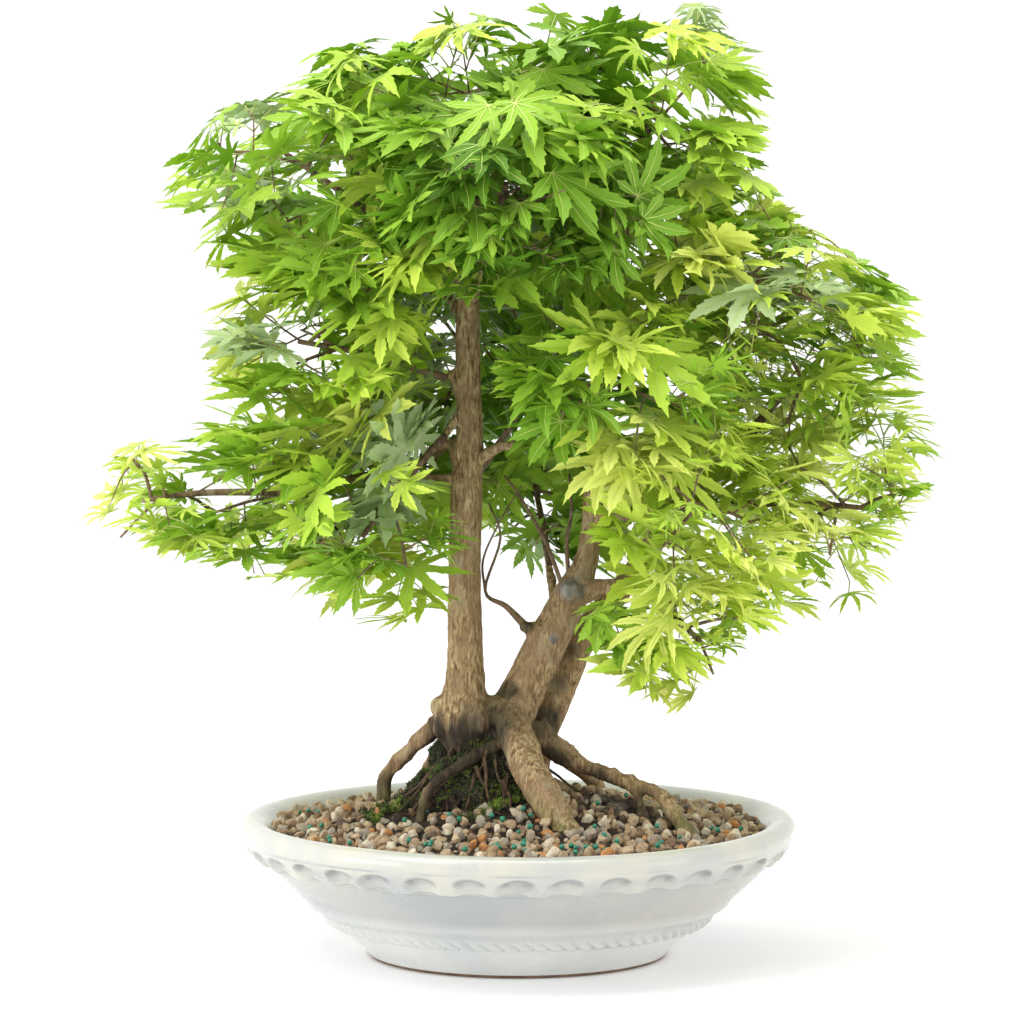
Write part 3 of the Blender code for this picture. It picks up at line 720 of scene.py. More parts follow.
def pot_relief(radius, height, angles, hollows):
    """How far the pot's skin stands out all round one row of its profile, in mm."""
    push = np.zeros(POT_SIDES)
    if THUMB_BAND[0] < height < THUMB_BAND[1] and radius > 132:
        phase = angles / math.tau * THUMBS
        for k, (drift, depth, lift) in enumerate(hollows):
            across = ((phase - k - drift + THUMBS / 2) % THUMBS - THUMBS / 2) / THUMB_HALF_WIDTH
            up = (height - THUMB_Z - lift) / THUMB_HALF_Z
            near = across**2 + up**2
            if up > 0:
                slope = np.clip((1 - near) * 1.6, 0, 1)
            else:
                slope = np.clip((1 - across**2) * 1.1, 0, 1) * (1 + 0.35 * up)
            push -= THUMB_DEPTH * depth * slope
            push += THUMB_LIP * depth * np.exp(-(((np.sqrt(near) - 1.1) / 0.16) ** 2)) * (up > -0.4)
    if ROPE_BAND[0] < height < ROPE_BAND[1] and ROPE_RADII[0] < radius < ROPE_RADII[1]:
        turn = (angles / math.tau * ROPE_TURNS + (height - ROPE_Z) * ROPE_SLANT) % 1.0
        groove = np.exp(-(((turn - 0.5) / 0.17) ** 2))
        push += 0.8 - 1.5 * groove * np.clip((23.2 - height) / 2.2, 0, 1)
    if radius > 90 and height < 66:
        push += 0.14 * np.sin(11 * angles + height * 0.13) * np.sin(5 * angles - height * 0.21)
    return push


def pot_piece(glaze, clay):
    """The pot: a turned body with pressed hollows under its rim and a twisted rope below its ledge."""
    rng = random.Random(SEED)
    angles = np.arange(POT_SIDES) * math.tau / POT_SIDES
    ranges = ((-0.1, 0.1), (0.75, 1.15), (-0.5, 0.5))
    hollows = [[rng.uniform(*ends) for ends in ranges] for _ in range(THUMBS)]
    sway = 0.4 * np.sin(2 * angles + 1.0) + 0.25 * np.sin(3 * angles + 2.2) + 0.9 * np.sin(angles)
    profile = close_rows(POT_PROFILE)
    heap = Heap()
    heap.points.append(np.array([[0, 0, profile[0][1]]]) * MM)
    for i, (radius, height) in enumerate(profile):
        before, after = profile[max(i - 1, 0)], profile[min(i + 1, len(profile) - 1)]
        run, rise = after[0] - before[0], after[1] - before[1]
        size = math.hypot(run, rise)
        push = pot_relief(radius, height, angles, hollows)
        r = radius + push * rise / size
        z = height - push * run / size
        if height > 45 and radius > 118:
            z = z + sway * min(1.0, (height - 45) / 20)
        ring = [r * np.cos(angles), r * np.sin(angles), z + 0 * angles]
        heap.points.append(np.stack(ring, axis=1) * MM)
    heap.points.append(np.array([[0, 0, profile[-1][1]]]) * MM)
    last = 1 + len(profile) * POT_SIDES
    for k in range(POT_SIDES):
        n = (k + 1) % POT_SIDES
        heap.faces.append([0, 1 + n, 1 + k])
        heap.slots.append(1)
        for i in range(len(profile) - 1):
            low, high = 1 + i * POT_SIDES, 1 + (i + 1) * POT_SIDES
            heap.faces.append([low + k, low + n, high + n, high + k])
            heap.slots.append(1 if profile[i][1] < FOOT_LINE else 0)
        heap.faces.append([last - POT_SIDES + k, last - POT_SIDES + n, last])
        heap.slots.append(0)
    body = piece("pot_body", heap, [glaze, clay], ["pot"])
    for x in (-DRAIN_HOLE_X, DRAIN_HOLE_X):
        drill(body, x * MM, DRAIN_HOLE_R * MM)


def drill(body, x, radius):
    """Cut a drain hole through the floor of the pot."""
    cutter = bpy.data.meshes.new("drill")
    work = bmesh.new()
    size = {"radius1": radius, "radius2": radius, "depth": 30 * MM}
    bmesh.ops.create_cone(work, cap_ends=True, segments=40, **size)
    bmesh.ops.translate(work, verts=work.verts, vec=(x, 0, 5 * MM))
    work.to_mesh(cutter)
    work.free()
    tool = linked("drill", cutter)
    hole = body.modifiers.new("hole", "BOOLEAN")
    hole.operation = "DIFFERENCE"
    hole.object = tool
    hole.solver = "EXACT"
    bake_modifiers(body)
    bpy.data.objects.remove(tool)


# ---- soil and gravel

def ground(x, y):
    """Height of the soil's top at a place, in mm, with its heaps."""
    radius = math.hypot(x, y)
    heap = SOIL_SWELL * math.sin(0.29 * x + 0.5) * math.cos(0.23 * y - 0.11 * x)
    heaped = clamped(min((radius - SOIL_HEAPED[0]) / 8, (SOIL_HEAPED[1] - radius) / 8))
    return float(np.interp(radius, *zip(*SOIL_TOP))) + heap * heaped


def soil_piece(material):
    """The dark soil between and under the gravel."""
    sides, rings = SOIL_SIDES, SOIL_RINGS
    angles = [math.tau * k / sides for k in range(sides)]
    points = [(0, 0, ground(0, 0) * MM)]
    for i in range(1, rings + 1):
        radius = SOIL_R * i / rings
        for angle in angles:
            x, y = around(radius, angle)
            z = ground(x, y) - 2.4 + (1.3 * rippled((x * MM, y * MM, 0), 9) if i < rings else 0)
            points.append((x * MM, y * MM, z * MM))
    points += [(*around(121 * MM, angle), 57 * MM) for angle in angles]
    faces = [[0, 1 + k, 1 + (k + 1) % sides] for k in range(sides)]
    faces += [[1 + a, 1 + a + sides, 1 + b + sides, 1 + b] for a, b in ring_edges(rings, sides)]
    faces.append([1 + rings * sides + k for k in range(sides)][::-1])
    heap = Heap()
    heap.add(points, faces)
    piece("soil_bed", heap, [material], ["soil"])


def pebble_shapes(count, rng):
    """Rounded, slightly angular unit pebbles."""
    points, faces = ball(2)
    shapes = []
    for _ in range(count):
        offset = jitter(rng, 50)
        cuts = [Vector([rng.gauss(0, 1) for _ in range(3)]).normalized() for _ in range(9)]
        shape = []
        for p in points:
            v = Vector(p) * (1 + 0.16 * noise.noise(Vector(p) * 1.3 + offset))
            for cut in cuts:
                over = v.dot(cut) - 0.62
                if over > 0:
                    v -= cut * over * 0.95
            shape.append(tuple(v))
        shapes.append(np.array(shape))
    return shapes, faces


def gravel_pieces(stones, wood):
    """Two coats of pebbles over the soil, kept out of the wood, the moss and the pot's wall."""
    rng = random.Random(SEED + 1)
    shapes, faces = pebble_shapes(24, rng)
    tree = KDTree(len(wood))
    for i, (place, radius) in enumerate(wood):
        tree.insert(place, i)
    tree.balance()
    for name, pitch, radii, lift, tones in GRAVEL:
        heap = Heap()
        rows = int(150 / pitch) + 1
        cells = [(i, j) for j in range(-rows, rows + 1) for i in range(-rows, rows + 1)]
        for i, j in cells:
            x = (i + 0.5 * (j % 2) + rng.uniform(-0.36, 0.36)) * pitch
            y = (j * 0.866 + rng.uniform(-0.36, 0.36)) * pitch
            size = rng.uniform(*radii) * (1.25 if rng.random() < 0.06 else 1)
            turn = Euler([rng.uniform(0, math.tau) for _ in range(3)]).to_matrix()
            squash = np.array([rng.uniform(0.95, 1.3), rng.uniform(0.8, 1.05), rng.uniform(0.6, 0.85)])
            shape = shapes[rng.randrange(len(shapes))]
            tone = rng.choices(range(len(stones)), tones)[0]
            radius = math.hypot(x, y)
            if radius + size * 0.95 > GRAVEL_R:
                continue
            z = ground(x, y) + lift + rng.uniform(-0.5, 0.9) + max(0.0, radius - 117) * 0.09
            place = Vector((x, y, z)) * MM
            _, index, gap = tree.find(place)
            if gap < wood[index][1] + size * 0.45 * MM:
                continue
            mossy = math.hypot((x - MOSSY[0]) / (MOSSY[2] + 2), (y - MOSSY[1] + 2) / MOSSY[3])
            if mossy < 1 and rng.random() < 1.2 - 0.6 * mossy:
                continue
            heap.add((shape * squash * size * MM) @ np.array(turn).T + np.array(place), faces, tone)
        piece(name, heap, stones, ["soil"], smooth=False)


def grains_piece(material):
    """Round green slow-release fertiliser grains among the pebbles."""
    rng = random.Random(SEED + 2)
    points, faces = ball(2)
    heap = Heap()
    for _ in range(GRAINS):
        angle = rng.uniform(0, math.tau) if rng.random() < 0.3 else rng.gauss(-math.pi / 2 - 0.2, 0.6)
        radius = rng.uniform(50, 122) if rng.random() < 0.4 else rng.uniform(104, 124)
        x, y = around(radius, angle)
        place = Vector((x, y, ground(x, y) + rng.uniform(1.0, 2.6)))
        heap.add(points * rng.uniform(1.15, 1.6) * MM + np.array(place * MM), faces)
    piece("fertiliser_grains", heap, [material])


# ---- wood

def make_limbs():
    """Every limb of the tree down to the boughs, and the boughs by the name of their mass."""
    tables = {
        "trunk": LEFT_STEM,
        "right_stem": RIGHT_STEM,
        "rear_stem": REAR_STEM,
        "middle_bough": RIGHT_STEM[-1:] + MIDDLE_BOUGH,
        "right_bough": REAR_STEM[-1:] + RIGHT_BOUGH,
    }
    stems = {name: Limb(in_metres(rows), 6) for name, rows in tables.items()}
    tips = {}
    for space in SPACES:
        limb = stems[space.limb]
        tips[space.name] = bough(space, limb) if space.height else limb
    return stems, tips


def share(point, space):
    """How far a point is from a space's centre, as a share of the space's radius that way."""
    parts = (abs((p / MM - c) / r) for p, c, r in zip(point, space.centre, space.radii))
    return sum(part**SPACE_POWER for part in parts) ** (1 / SPACE_POWER)


def bough(space, limb):
    """The bough from a limb to the edge of a mass's space."""
    start, thick = limb.at_height(space.height * MM)
    centre = Vector(space.centre) * MM
    tip = centre + (start - centre) / share(start, space)
    middle = start.lerp(tip, 0.5) + UP * space.arch * MM
    root, end = min(BOUGH_ROOT_R * MM, 0.62 * thick), BOUGH_TIP_R * MM
    return Limb([(*start, root), (*middle, (root + end) / 2), (*tip, end)], 8)


def blob(heap, centre, radii, turn=(0, 0, 0)):
    """A swelling to be merged with the wood."""
    points, faces = ball(3)
    turned = np.array(Euler([math.radians(a) for a in turn]).to_matrix()).T
    heap.add(((points * np.array(radii)) @ turned + np.array(centre)) * MM, faces)


def remeshed(name, heap, voxel, smoothing):
    """One skin round a heap of overlapping closed shapes."""
    thing = linked(name, heap.mesh(name))
    skin = thing.modifiers.new("skin", "REMESH")
    skin.mode = "VOXEL"
    skin.voxel_size = voxel * MM
    soften = thing.modifiers.new("soften", "SMOOTH")
    soften.iterations = smoothing
    soften.factor = 0.5
    bake_modifiers(thing)
    return thing


def pushed(thing, depth):
    """Move every vertex along its normal by depth(place) in mm."""
    mesh = thing.data
    points, normals = (np.empty(len(mesh.vertices) * 3) for _ in range(2))
    mesh.vertices.foreach_get("co", points)
    mesh.vertices.foreach_get("normal", normals)
    points, normals = points.reshape(-1, 3), normals.reshape(-1, 3)
    depths = np.array([depth(Vector(p)) for p in points])
    points += normals * depths[:, None] * MM
    mesh.vertices.foreach_set("co", points.ravel())
    mesh.polygons.foreach_set("use_smooth", [True] * len(mesh.polygons))
    mesh.update()


def bark_relief(p):
    """Ridges, swellings and growth rings, finer on the thin limbs, with folds on the roots."""
    low = clamped((0.15 - p.z) / 0.05)
    thin = clamped((0.42 - p.z) / 0.2, 0.25)
    ridges = 1 - abs(rippled((p.x, p.y, p.z * 0.28), 4.2)) * 2.2
    swell = rippled((p.x, p.y, p.z * 0.5), 22)
    folds = 1 - abs(rippled((p.x * 1.2, p.y * 1.2, p.z * 0.6 + 0.3), 15, 2)) * 2.5
    rings = math.sin(p.z / (1.9 * MM) + 3 * rippled(p, 30, 2)) * 0.1
    return thin * (0.42 * ridges - 0.28 + 0.9 * swell + rings) + low * (0.9 * folds - 0.5)


def wood_piece(stems, tips, bark):
    """One skin of bark over the roots, the stems and the boughs, with its relief."""
    skins = {
        **stems,
        "trunk": Limb(in_metres(LEFT_FOOT + LEFT_STEM[LEFT_FOOT_JOINS:]), 6),
        "rear_stem": Limb(in_metres(REAR_FOOT + REAR_STEM), 6),
    }
    heap = Heap()
    for limb in skins.values():
        heap.add(*limb.tube(28))
    for rows in ROOTS:
        heap.limb(rows, 7, 18)
    for limb in tips.values():
        if limb not in stems.values():
            heap.add(*limb.tube(12))
    heap.limb(LOW_BRANCH, 6, 16)
    for row in BURRS:
        blob(heap, *row)
    wood = remeshed("bark", heap, 1.05, 5)
    pushed(wood, bark_relief)
    wood.data.materials.append(bark)
    placed(wood, list(stems) + [space.name + "_bough" for space in SPACES if space.height])


def core_relief(p):
    """Hanging fibres over lumps and crumbs."""
    hang = 1 - abs(rippled((p.x, p.y, p.z * 0.3), 6.5)) * 2.4
    return 2.4 * rippled(p, 15) + 2.0 * hang - 1.2 + 1.6 * rippled(p, 3.4)


def core_piece(core, material):
    """The dark, fibrous root ball above the gravel, between the thick roots."""
    heap = Heap()
    heap.add(*core.tube(40))
    for row in ROOT_MOUNDS:
        blob(heap, *row)
    root_ball = remeshed("root_ball", heap, 1.1, 2)
    pushed(root_ball, core_relief)
    root_ball.data.materials.append(material)
    return placed(root_ball, ["trunk"])


def rootlets_piece(material):
    """Thin roots that hang and creep over the front and sides of the root ball."""
    rng = random.Random(SEED + 3)
    heap = Heap()
    for _ in range(ROOTLETS):
        angle = rng.uniform(0, math.tau)
        top = rng.uniform(86, 112)
        radius = float(np.interp(top, [84, 104, 122], [30, 24, 15]))
        splay, drift, thick = rng.uniform(6, 34), rng.uniform(-0.9, 0.9), rng.uniform(0.3, 1.0)
        rows = []
        for t in (i / 5 for i in range(6)):
            z = top + (rng.uniform(64, 76) - top) * t
            r = radius + t * splay + rng.uniform(-0.6, 0.8)
            a = angle + drift * t + rng.uniform(-0.03, 0.03)
            x, y = -15 + r * math.cos(a), -6 + r * math.sin(a)
            rows.append((x, y, max(z, ground(x, y) - 1), thick * (1.4 - t)))
        heap.limb(rows, 4, 5)
    piece("rootlets", heap, [material], ["trunk"])


def moss_piece(material, root_ball):
    """Cushions of moss tufts on the root ball and the soil beside it."""
    rng = random.Random(SEED + 4)
    heap = Heap()
    spots = []
    polygons = root_ball.data.polygons
    for _ in range(6500):
        face = polygons[rng.randrange(len(polygons))]
        p = face.center
        if 0.074 <= p.z <= 0.116 and noise.noise(p * 60) >= -0.16 and face.normal.z >= -0.4:
            spots.append((p, face.normal))
    for _ in range(1700):
        angle = rng.uniform(0, math.tau)
        radius = rng.uniform(0.55, 1.12)
        x = MOSSY[0] + MOSSY[2] * radius * math.cos(angle)
        y = MOSSY[1] + MOSSY[3] * radius * math.sin(angle)
        p = Vector((x, y, ground(x, y) + 0.5)) * MM
        if noise.noise(p * 45 + Vector((3, 1, 7))) > -0.08:
            spots.append((p, UP))
    for p, n in spots:
        lean = (n + UP * 0.6 + jitter(rng, 0.5)).normalized()
        for _ in range(5):
            way = (lean + jitter(rng, 0.6)).normalized()
            side = way.orthogonal().normalized()
            side.rotate(Matrix.Rotation(rng.uniform(0, math.tau), 3, way))
            foot = p + jitter(rng, 1.2 * MM) - way * 0.6 * MM
            length = rng.uniform(1.0, 2.9) * MM
            width = rng.uniform(0.3, 0.6) * MM
            heap.add([foot - side * width, foot + side * width, foot + way * length], [[0, 1, 2]])
    piece("moss", heap, [material], smooth=False)


# ---- leaves

def leaf_template(width):
    """A flat leaf: (axis angle, distance, offset, lobe length) rows, its faces and its rib rows."""
    (first, *_), (final, *_) = LOBES[0], LOBES[-1]
    rows, faces = [(0, 0, 0, 1), (first - 24, 0.13, 0, 0.4)], []
    for a, b in zip(LOBES, LOBES[1:]):
        rows.append(((a[0] + b[0]) / 2, SINUS * (a[1] + b[1]) / 2, 0, (a[1] + b[1]) / 2))
    rows.append((final + 24, 0.13, 0, 0.4))
    for i, (angle, length, teeth) in enumerate(LOBES):
        start = SINUS * (0.9 if length > 0.5 else 0.7)
        rows.append((angle, start, 0, length))
        mid, left, right = [0, len(rows) - 1], [0, i + 1], [0, i + 2]
        for k in range(teeth):
            tooth = (k + 0.7) / (teeth + 0.9)
            notch = tooth + 0.34 / (teeth + 0.9)
            for u, swell, lead in ((tooth, TOOTH_OUT, 0.028), (notch, TOOTH_IN, -0.004)):
                distance = (start / length + (1 - start / length) * u) * length
                half = np.interp(u, *zip(*LOBE_WIDTHS)) * width * swell * length**0.6
                for line, offset in ((mid, 0), (left, -half), (right, half)):
                    rows.append((angle, distance + (lead if offset else 0), offset, length))
                    line.append(len(rows) - 1)
        rows.append((angle, length, 0, length))
        middle = mid + [len(rows) - 1]
        for line in (left, right):
            line.append(len(rows) - 1)
            for a in range(len(middle) - 1):
                face = [middle[a], middle[a + 1], line[a + 1], line[a]]
                face = [v for j, v in enumerate(face) if v not in face[:j]]
                if len(face) > 2:
                    faces.append(face[::-1] if line is right else face)
    ribs = [(angle, t * length, length) for angle, length, _ in LOBES for t in RIB_SHARES]
    return np.array(rows, dtype=float), faces, np.array(ribs)


# A full leaf, a narrow one and a young, threadlike one.
LEAF_KINDS = [leaf_template(1.0), leaf_template(0.78), leaf_template(0.5)]
RIB_POINTS = len(LOBES) * len(RIB_SHARES)
RIB_STRIPS = [
    [a, a + 1, RIB_POINTS + a + 1, RIB_POINTS + a]
    for a in range(RIB_POINTS)
    if (a + 1) % len(RIB_SHARES)
]


def bent(angle, distance, offset, lobe, form):
    """Points of a leaf in its own frame: x along the middle lobe, y to its side, z up."""
    swing = np.radians(angle * form["spread"]) + form["curl"] * distance**2
    x = np.cos(swing) * distance - np.sin(swing) * offset
    y = np.sin(swing) * distance + np.cos(swing) * offset
    reach = np.hypot(x, y)
    hang = form["tip"] * np.clip(distance / lobe - 0.55, 0, 1) ** 2
    z = form["fold"] * np.abs(offset) - form["droop"] * reach**2 - hang
    z = z + form["twist"] * offset * distance + form["lift"] * np.clip(-x, 0, 1)
    return np.stack([x, y, z], axis=1)


def add_leaf(blades, hub, along, up, length, kind, form, tint):
    """Put one leaf, with its ribs, on a heap."""
    rows, faces, ribs = LEAF_KINDS[kind]
    side = up.cross(along).normalized()
    turn = np.array([along, side, along.cross(side)])
    blades.add(bent(*rows.T, form) * length @ turn + np.array(hub), faces, tint)
    widths = np.tile(np.array(RIB_WIDTHS) * MM / length, len(LOBES))
    low, high = (bent(ribs[:, 0], ribs[:, 1], edge, ribs[:, 2], form) for edge in (-widths, widths))
    points = np.concatenate([low, high]) + np.array([0, 0, RIB_RAISED * MM / length])
    blades.add(points * length @ turn + np.array(hub), RIB_STRIPS, RIB_SLOT)


# ---- foliage

def even_directions(count, rng):
    """Directions spread evenly over a sphere, turned by a random angle."""
    turn = rng.uniform(0, math.tau)
    for i in range(count):
        z = 1 - (2 * i + 1) / count
        flat = math.sqrt(1 - z * z)
        angle = turn + i * math.pi * (3 - math.sqrt(5))
        yield Vector((flat * math.cos(angle), flat * math.sin(angle), z))


def arched(start, end, thick, thin, rise, rng, steps=4):
    """A thin shoot with a slight bend."""
    middle = start.lerp(end, 0.5) + UP * rise + jitter(rng, 0.05 * (end - start).length)
    thick, thin = thick * MM, thin * MM
    return Limb([(*start, thick), (*middle, (thick + thin) / 2), (*end, thin)], steps)


def spread(space, way, reach):
    """A point towards `way` at a share of the space's radii."""
    return Vector(space.centre) * MM + Vector([w * r * MM * reach for w, r in zip(way, space.radii)])


def inside_edges(p, margin):
    """Whether a point lies between the crown's sides, at least `margin` mm from them."""
    seen = EYE + (p - EYE) * (EYE.y / (EYE.y - p.y))
    heights, lefts, rights = zip(*CROWN_EDGES)
    x, z = seen.x / MM, seen.z / MM
    left, right = float(np.interp(z, heights, lefts)), float(np.interp(z, heights, rights))
    return left + margin <= x <= right - margin


def within(points):
    """Whether every point lies in one of the spaces and between the crown's sides."""
    return all(
        inside_edges(p, -LEAF_OVERHANG) and any(share(p, space) <= LEAF_SPACE for space in SPACES)
        for p in points
    )


def zone(rows, x, z):
    """The value of the first row whose x range and top height hold a place in mm."""
    return next(value for low, high, top, value in rows if low < x < high and z < top)


def skeleton(space, limb, rng, wood):
    """Add a mass's stem and twigs by the source's rule, and list its [place, shoots] nodes."""
    place, centre = limb.path[-1], Vector(space.centre) * MM
    end = centre + (centre - place) * STEM_PAST_CENTRE
    bend = place.lerp(end, STEM_BEND_AT) + UP * 2 * MM
    stem = Limb([(*place, limb.radii[-1]), (*bend, STEM_BEND_R * MM), (*end, STEM_END_R * MM)], 8)
    wood.add(*stem.tube(7))
    nodes = [[stem.at(t)[0], 0] for t in STEM_NODES]
    for way in even_directions(TWIGS, rng):
        base = stem.path[8].lerp(stem.path[16], rng.uniform(*TWIG_BASES))
        twig = arched(base, spread(space, way, TWIG_REACH), 1.1, 0.65, 2 * MM, rng, 5)
        wood.add(*twig.tube(6))
        nodes += [[twig.at(t)[0], 0] for t in TWIG_NODES]
    return nodes


def leaf_form(kind, young, rng):
    """How one leaf spreads, curls, folds and droops."""
    wild = 1.8 if young else 1
    return {
        "spread": rng.uniform(0.86, 1.06) * (0.82 if kind == 2 else 1),
        "curl": rng.uniform(-0.25, 0.25) * wild,
        "fold": rng.uniform(0.05, 0.5),
        "droop": rng.uniform(-0.04, 0.16) * wild,
        "tip": rng.uniform(-0.15, 0.3) * wild,
        "twist": rng.uniform(-0.8, 0.8) * wild,
        "lift": rng.uniform(-0.1, 0.25),
    }


def grow_leaf(blades, stalks, node, way, outward, facing, young, tint, rng):
    """Grow a leaf on its stalk, if its lobes find room in the crown."""
    length = rng.uniform(*LEAF_LENGTHS) * (YOUNG_SIZE if young else 1) * MM
    for shrink in (1, 1, 0.9, 0.9, 0.8, 0.7, 0.6):
        out = (way + jitter(rng, 0.3)).normalized()
        reach = rng.uniform(*STALK_LENGTHS) * MM * shrink
        hub = node + out * reach
        level = flat(out) + outward * 0.5
        level.rotate(Matrix.Rotation(math.radians(rng.uniform(-28, 28)), 3, "Z"))
        level = flat(level)
        dips = (-22, 30, 2) if abs(hub.x) > 0.095 else (-30, 48, 12)
        dip = math.radians(rng.triangular(*dips))
        along = (level * math.cos(dip) - UP * math.sin(dip)).normalized()
        up = facing + jitter(rng, 0.4)
        side = up.cross(along).normalized()
        size = length * shrink
        lobes = [(math.radians(angle), part) for angle, part, _ in LOBES[1:-1]]
        tips = [hub + (along * math.cos(a) + side * math.sin(a)) * part * size for a, part in lobes]
        if within([hub] + tips):
            break
    else:
        return False
    kind = rng.choices((0, 1, 2), (0, 3, 9) if young else (9, 6, 1))[0]
    add_leaf(blades, hub, along, up, size, kind, leaf_form(kind, young, rng), tint)
    middle = node.lerp(hub, 0.5) + UP * reach * rng.uniform(0.02, 0.16)
    stalk = Limb([(*node, 0.5 * MM), (*middle, 0.4 * MM), (*hub, 0.36 * MM)], 1)
    stalks.add(*stalk.tube(3), 0 if tint > 1 else 1)
    return True


def grow_spray(space, shoot, goal, blades, stalks, rng):
    """Grow a shoot's leaves, and say how many found room."""
    x, z = goal.x / MM, goal.z / MM
    tint = rng.choices(range(len(TINTS)), zone(TINT_ZONES, x, z))[0]
    young = rng.random() < zone(YOUNG_ZONES, x, z)
    lean = rng.uniform(-0.1, 0.5) if abs(x) > 80 else rng.uniform(0.2, 1.1)
    roll = jitter(rng, 0.3)
    grown = 0
    for k, t in enumerate(SHOOT_NODES):
        at_tip = t == 1.0
        place, way_on = shoot.at(t)
        outward = Vector((place.x - CROWN_X, place.y, 0)).normalized()
        outward = outward + (place - Vector(space.centre) * MM).normalized() * 0.6
        outward = Vector((outward.x, outward.y, max(outward.z, 0) * 0.5)).normalized()
        facing = UP * 0.7 + outward * lean + roll
        axis = way_on.cross(UP)
        axis = axis.normalized() if axis.length > 0.1 else Vector((1, 0, 0))
        axis.rotate(Matrix.Rotation(math.radians(54 * (k % 2) + rng.uniform(-20, 20)), 3, way_on))
        shade = tint + 1 if at_tip and tint < 4 and rng.random() < 0.5 else tint
        if k == 0 and 1 < tint < 6:
            shade = tint - 1
        for sign in (1, -1):
            out = way_on * 0.6 + axis * sign * (0.55 if at_tip else 0.95) + outward * 0.3 + UP * 0.12
            grown += grow_leaf(blades, stalks, place, out, outward, facing, young, shade, rng)
        if at_tip and rng.random() < 0.6:
            out = way_on + outward * 0.3
            grown += grow_leaf(blades, stalks, place, out, outward, facing, young, shade, rng)
    return grown


def foliage(tips, leaf_materials, twig_bark, stalk_materials):
    """Every mass grown on from its bough: stem, twigs, shoots, leaf stalks and leaves."""
    wood, stalks = Heap(), Heap()
    for index, space in enumerate(SPACES):
        rng = random.Random(SEED + index)
        nodes = skeleton(space, tips[space.name], rng, wood)
        rx, ry, rz = space.radii
        area = (rx * ry + ry * rz + rz * rx) / 3
        blades = Heap()
        for way in even_directions(round(area / MM2_PER_SHOOT * FULLER.get(space.name, 1)), rng):
            reach = rng.uniform(*SHOOT_REACH)
            goal = spread(space, way, reach)
            while reach > 0.2 and not inside_edges(goal, SHOOT_INSIDE):
                reach -= 0.05
                goal = spread(space, way, reach)
            node = min(nodes, key=lambda n: (n[0] - goal).length + n[1] * TAKEN_NODE * MM)
            node[1] += 1
            shoot = arched(node[0], goal, 0.7, 0.4, rng.uniform(-1, 5) * MM, rng)
            if grow_spray(space, shoot, goal, blades, stalks, rng):
                wood.add(*shoot.tube(4))
        piece("leaves_" + space.name, blades, leaf_materials, [space.name], smooth=False)
    for rows in FINE_TWIGS:
        wood.limb(rows, 5, 6)
    names = [space.name for space in SPACES]
    piece("twigs", wood, [twig_bark], names)
    piece("leaf_stalks", stalks, stalk_materials, names)


# ---- stage

def facing_target(thing, place, target):
    """Put a lamp or camera at a place, looking at the target."""
    thing.location = place
    thing.rotation_euler = (target - Vector(place)).to_track_quat("-Z", "Y").to_euler()


def studio():
    """White light from all round, stronger from behind than from the front and from the left."""
    world = bpy.data.worlds.new("studio")
    world.use_nodes = True
    sky = Nodes(world.node_tree)
    background = world.node_tree.nodes["Background"].inputs
    sky.feed(background["Color"], (1, 1, 1))
    way = {"Vector": sky.node("TexCoord", "Generated", {})}
    depth = sky.mapped(sky.node("SeparateXYZ", "Y", way), -0.8, 0.1, 0.7, 1.18)
    strength = sky.math("MULTIPLY_ADD", sky.node("SeparateXYZ", "X", way), -0.2, depth)
    sky.feed(background["Strength"], strength)
    bpy.context.scene.world = world


def stage():
    """A plain pale floor, soft light and the camera."""
    mesh = bpy.data.meshes.new("floor")
    half = 6.0
    corners = [(-half, -half, 0), (half, -half, 0), (half, half, 0), (-half, half, 0)]
    mesh.from_pydata(corners, [], [[0, 1, 2, 3]])
    glow = {"Emission_Color": (1, 1, 1), "Emission_Strength": 0.2}
    mesh.materials.append(plain("floor", (0.84, 0.84, 0.84), 0.9, **glow))
    floor = linked("floor", mesh)
    studio()
    for name, place, power, width in LAMPS:
        lamp = bpy.data.lights.new(name, "AREA")
        lamp.energy = power
        lamp.size = width
        light = linked(name, lamp)
        facing_target(light, place, Vector((0, 0, 0.25)))
    lens = bpy.data.cameras.new("camera")
    lens.lens = CAMERA_LENS
    lens.clip_end = 20
    lens.dof.use_dof = False
    eye = linked("camera", lens)
    tilt = math.radians(CAMERA_ELEVATION)
    back = Vector((0, -math.cos(tilt), math.sin(tilt))) * CAMERA_DISTANCE
    facing_target(eye, CAMERA_TARGET + back, CAMERA_TARGET)
    bpy.context.scene.camera = eye
    bpy.context.scene.view_settings.view_transform = "Standard"


# ---- the plant

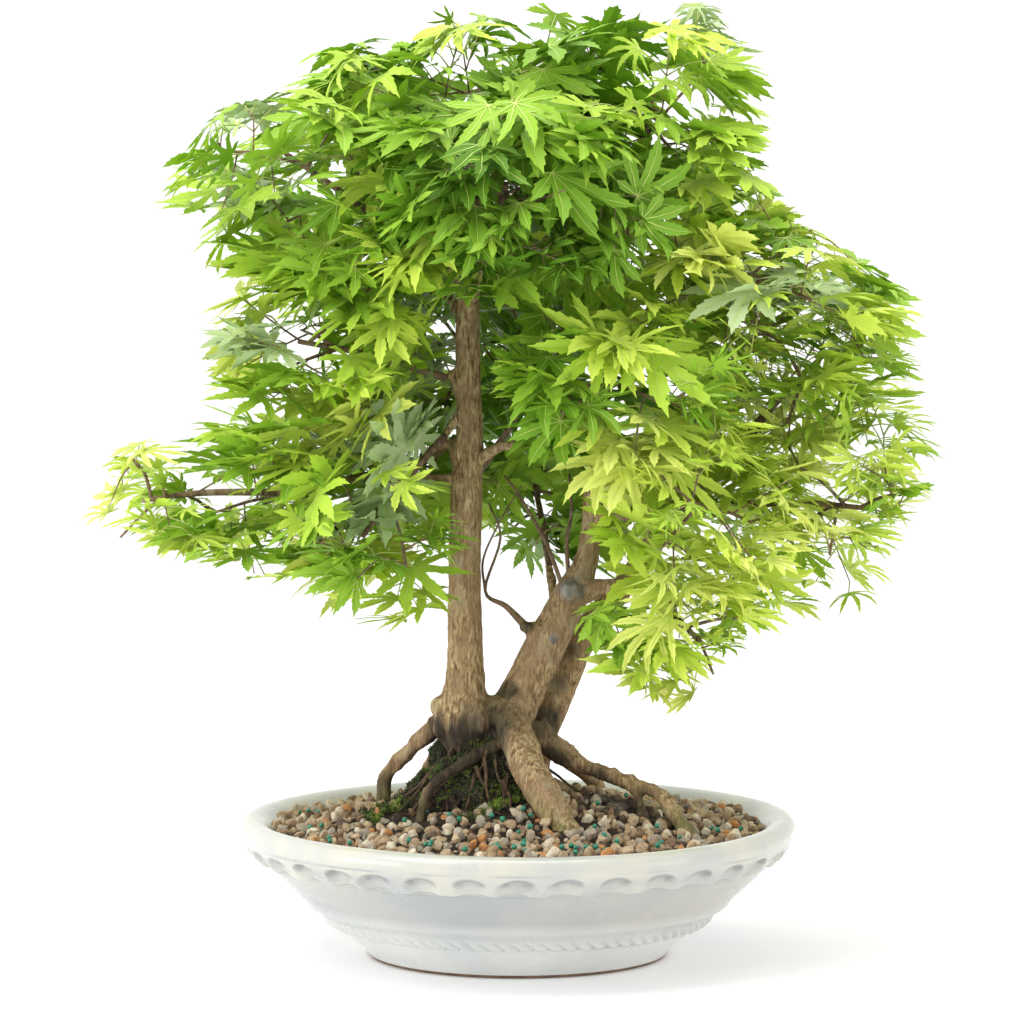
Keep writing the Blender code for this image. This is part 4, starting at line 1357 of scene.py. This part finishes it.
# Patterns of colour and of relief: (scale, detail, ...) of the noise, then its stops or its depth.
clay = mottled(
    "bare_clay", (0.2, 0.12, 0.075), 0.85,
    (160, 5), ((0.3, (0.13, 0.075, 0.045)), (0.7, (0.27, 0.17, 0.11))), (500, 4, 0.3, 0.6))
root_bark = mottled(
    "root_bark", (0.03, 0.02, 0.012), 0.9, (330, 6, 0.3, 0.65),
    ((0.36, (0.007, 0.005, 0.003)), (0.54, (0.032, 0.021, 0.012)), (0.74, (0.13, 0.085, 0.045))),
    (500, 5, 1.2))
soil = mottled(
    "soil", (0.05, 0.033, 0.022), 0.95,
    (300, 5), ((0.3, (0.008, 0.005, 0.003)), (0.7, (0.045, 0.028, 0.016))), (700, 4, 0.8))
fertiliser = mottled(
    "fertiliser", (0.02, 0.22, 0.13), 0.35,
    (400, 3), ((0.35, (0.012, 0.15, 0.085)), (0.65, (0.03, 0.3, 0.19))), (900, 2, 0.1), Coat_Weight=0.3)
rootlet = mottled(
    "rootlet", (0.09, 0.055, 0.032), 0.85,
    (300, 4), ((0.35, (0.04, 0.024, 0.014)), (0.7, (0.17, 0.1, 0.055))), (700, 3, 0.3))
BARK_TONES = ((0.10, 0.055, 0.025), (0.355, 0.226, 0.105), (0.62, 0.475, 0.26))
TWIG_TONES = ((0.05, 0.03, 0.02), (0.15, 0.09, 0.055), (0.27, 0.19, 0.13))
bark = bark_material("bark", BARK_TONES, 72, (0.17, 0.19, 0.05), foot_marks)
twig_bark = bark_material("twig_bark", TWIG_TONES, 0, (0.1, 0.1, 0.05))
stones = [stone_material("stone_" + name, *colours) for name, *colours in STONES]
leaf_materials = [
    *(plain("leaf_%d" % i, tint, 0.5, Specular_IOR_Level=0.25) for i, tint in enumerate(TINTS)),
    plain("leaf_rib", (0.56, 0.70, 0.15), 0.5),
]
stalk_materials = [
    plain("leaf_stalk_pale", (0.5, 0.56, 0.16), 0.5),
    plain("leaf_stalk_tan", (0.42, 0.33, 0.17), 0.55),
]

pot_piece(glaze_material(), clay)
stems, tips = make_limbs()
core = Limb([(x, y, z, r - ROOT_BALL_INSET * MM) for x, y, z, r in in_metres(ROOT_CORE)], 6)
wood_piece(stems, tips, bark)
root_ball = core_piece(core, root_bark)
soil_piece(soil)
limbs = [*stems.values(), *(Limb(in_metres(rows), 7) for rows in ROOTS), core]
gravel_pieces(stones, [row for limb in limbs for row in zip(limb.path, limb.radii)])
grains_piece(fertiliser)
rootlets_piece(rootlet)
moss_piece(moss_material(), root_ball)
foliage(tips, leaf_materials, twig_bark, stalk_materials)
stage()
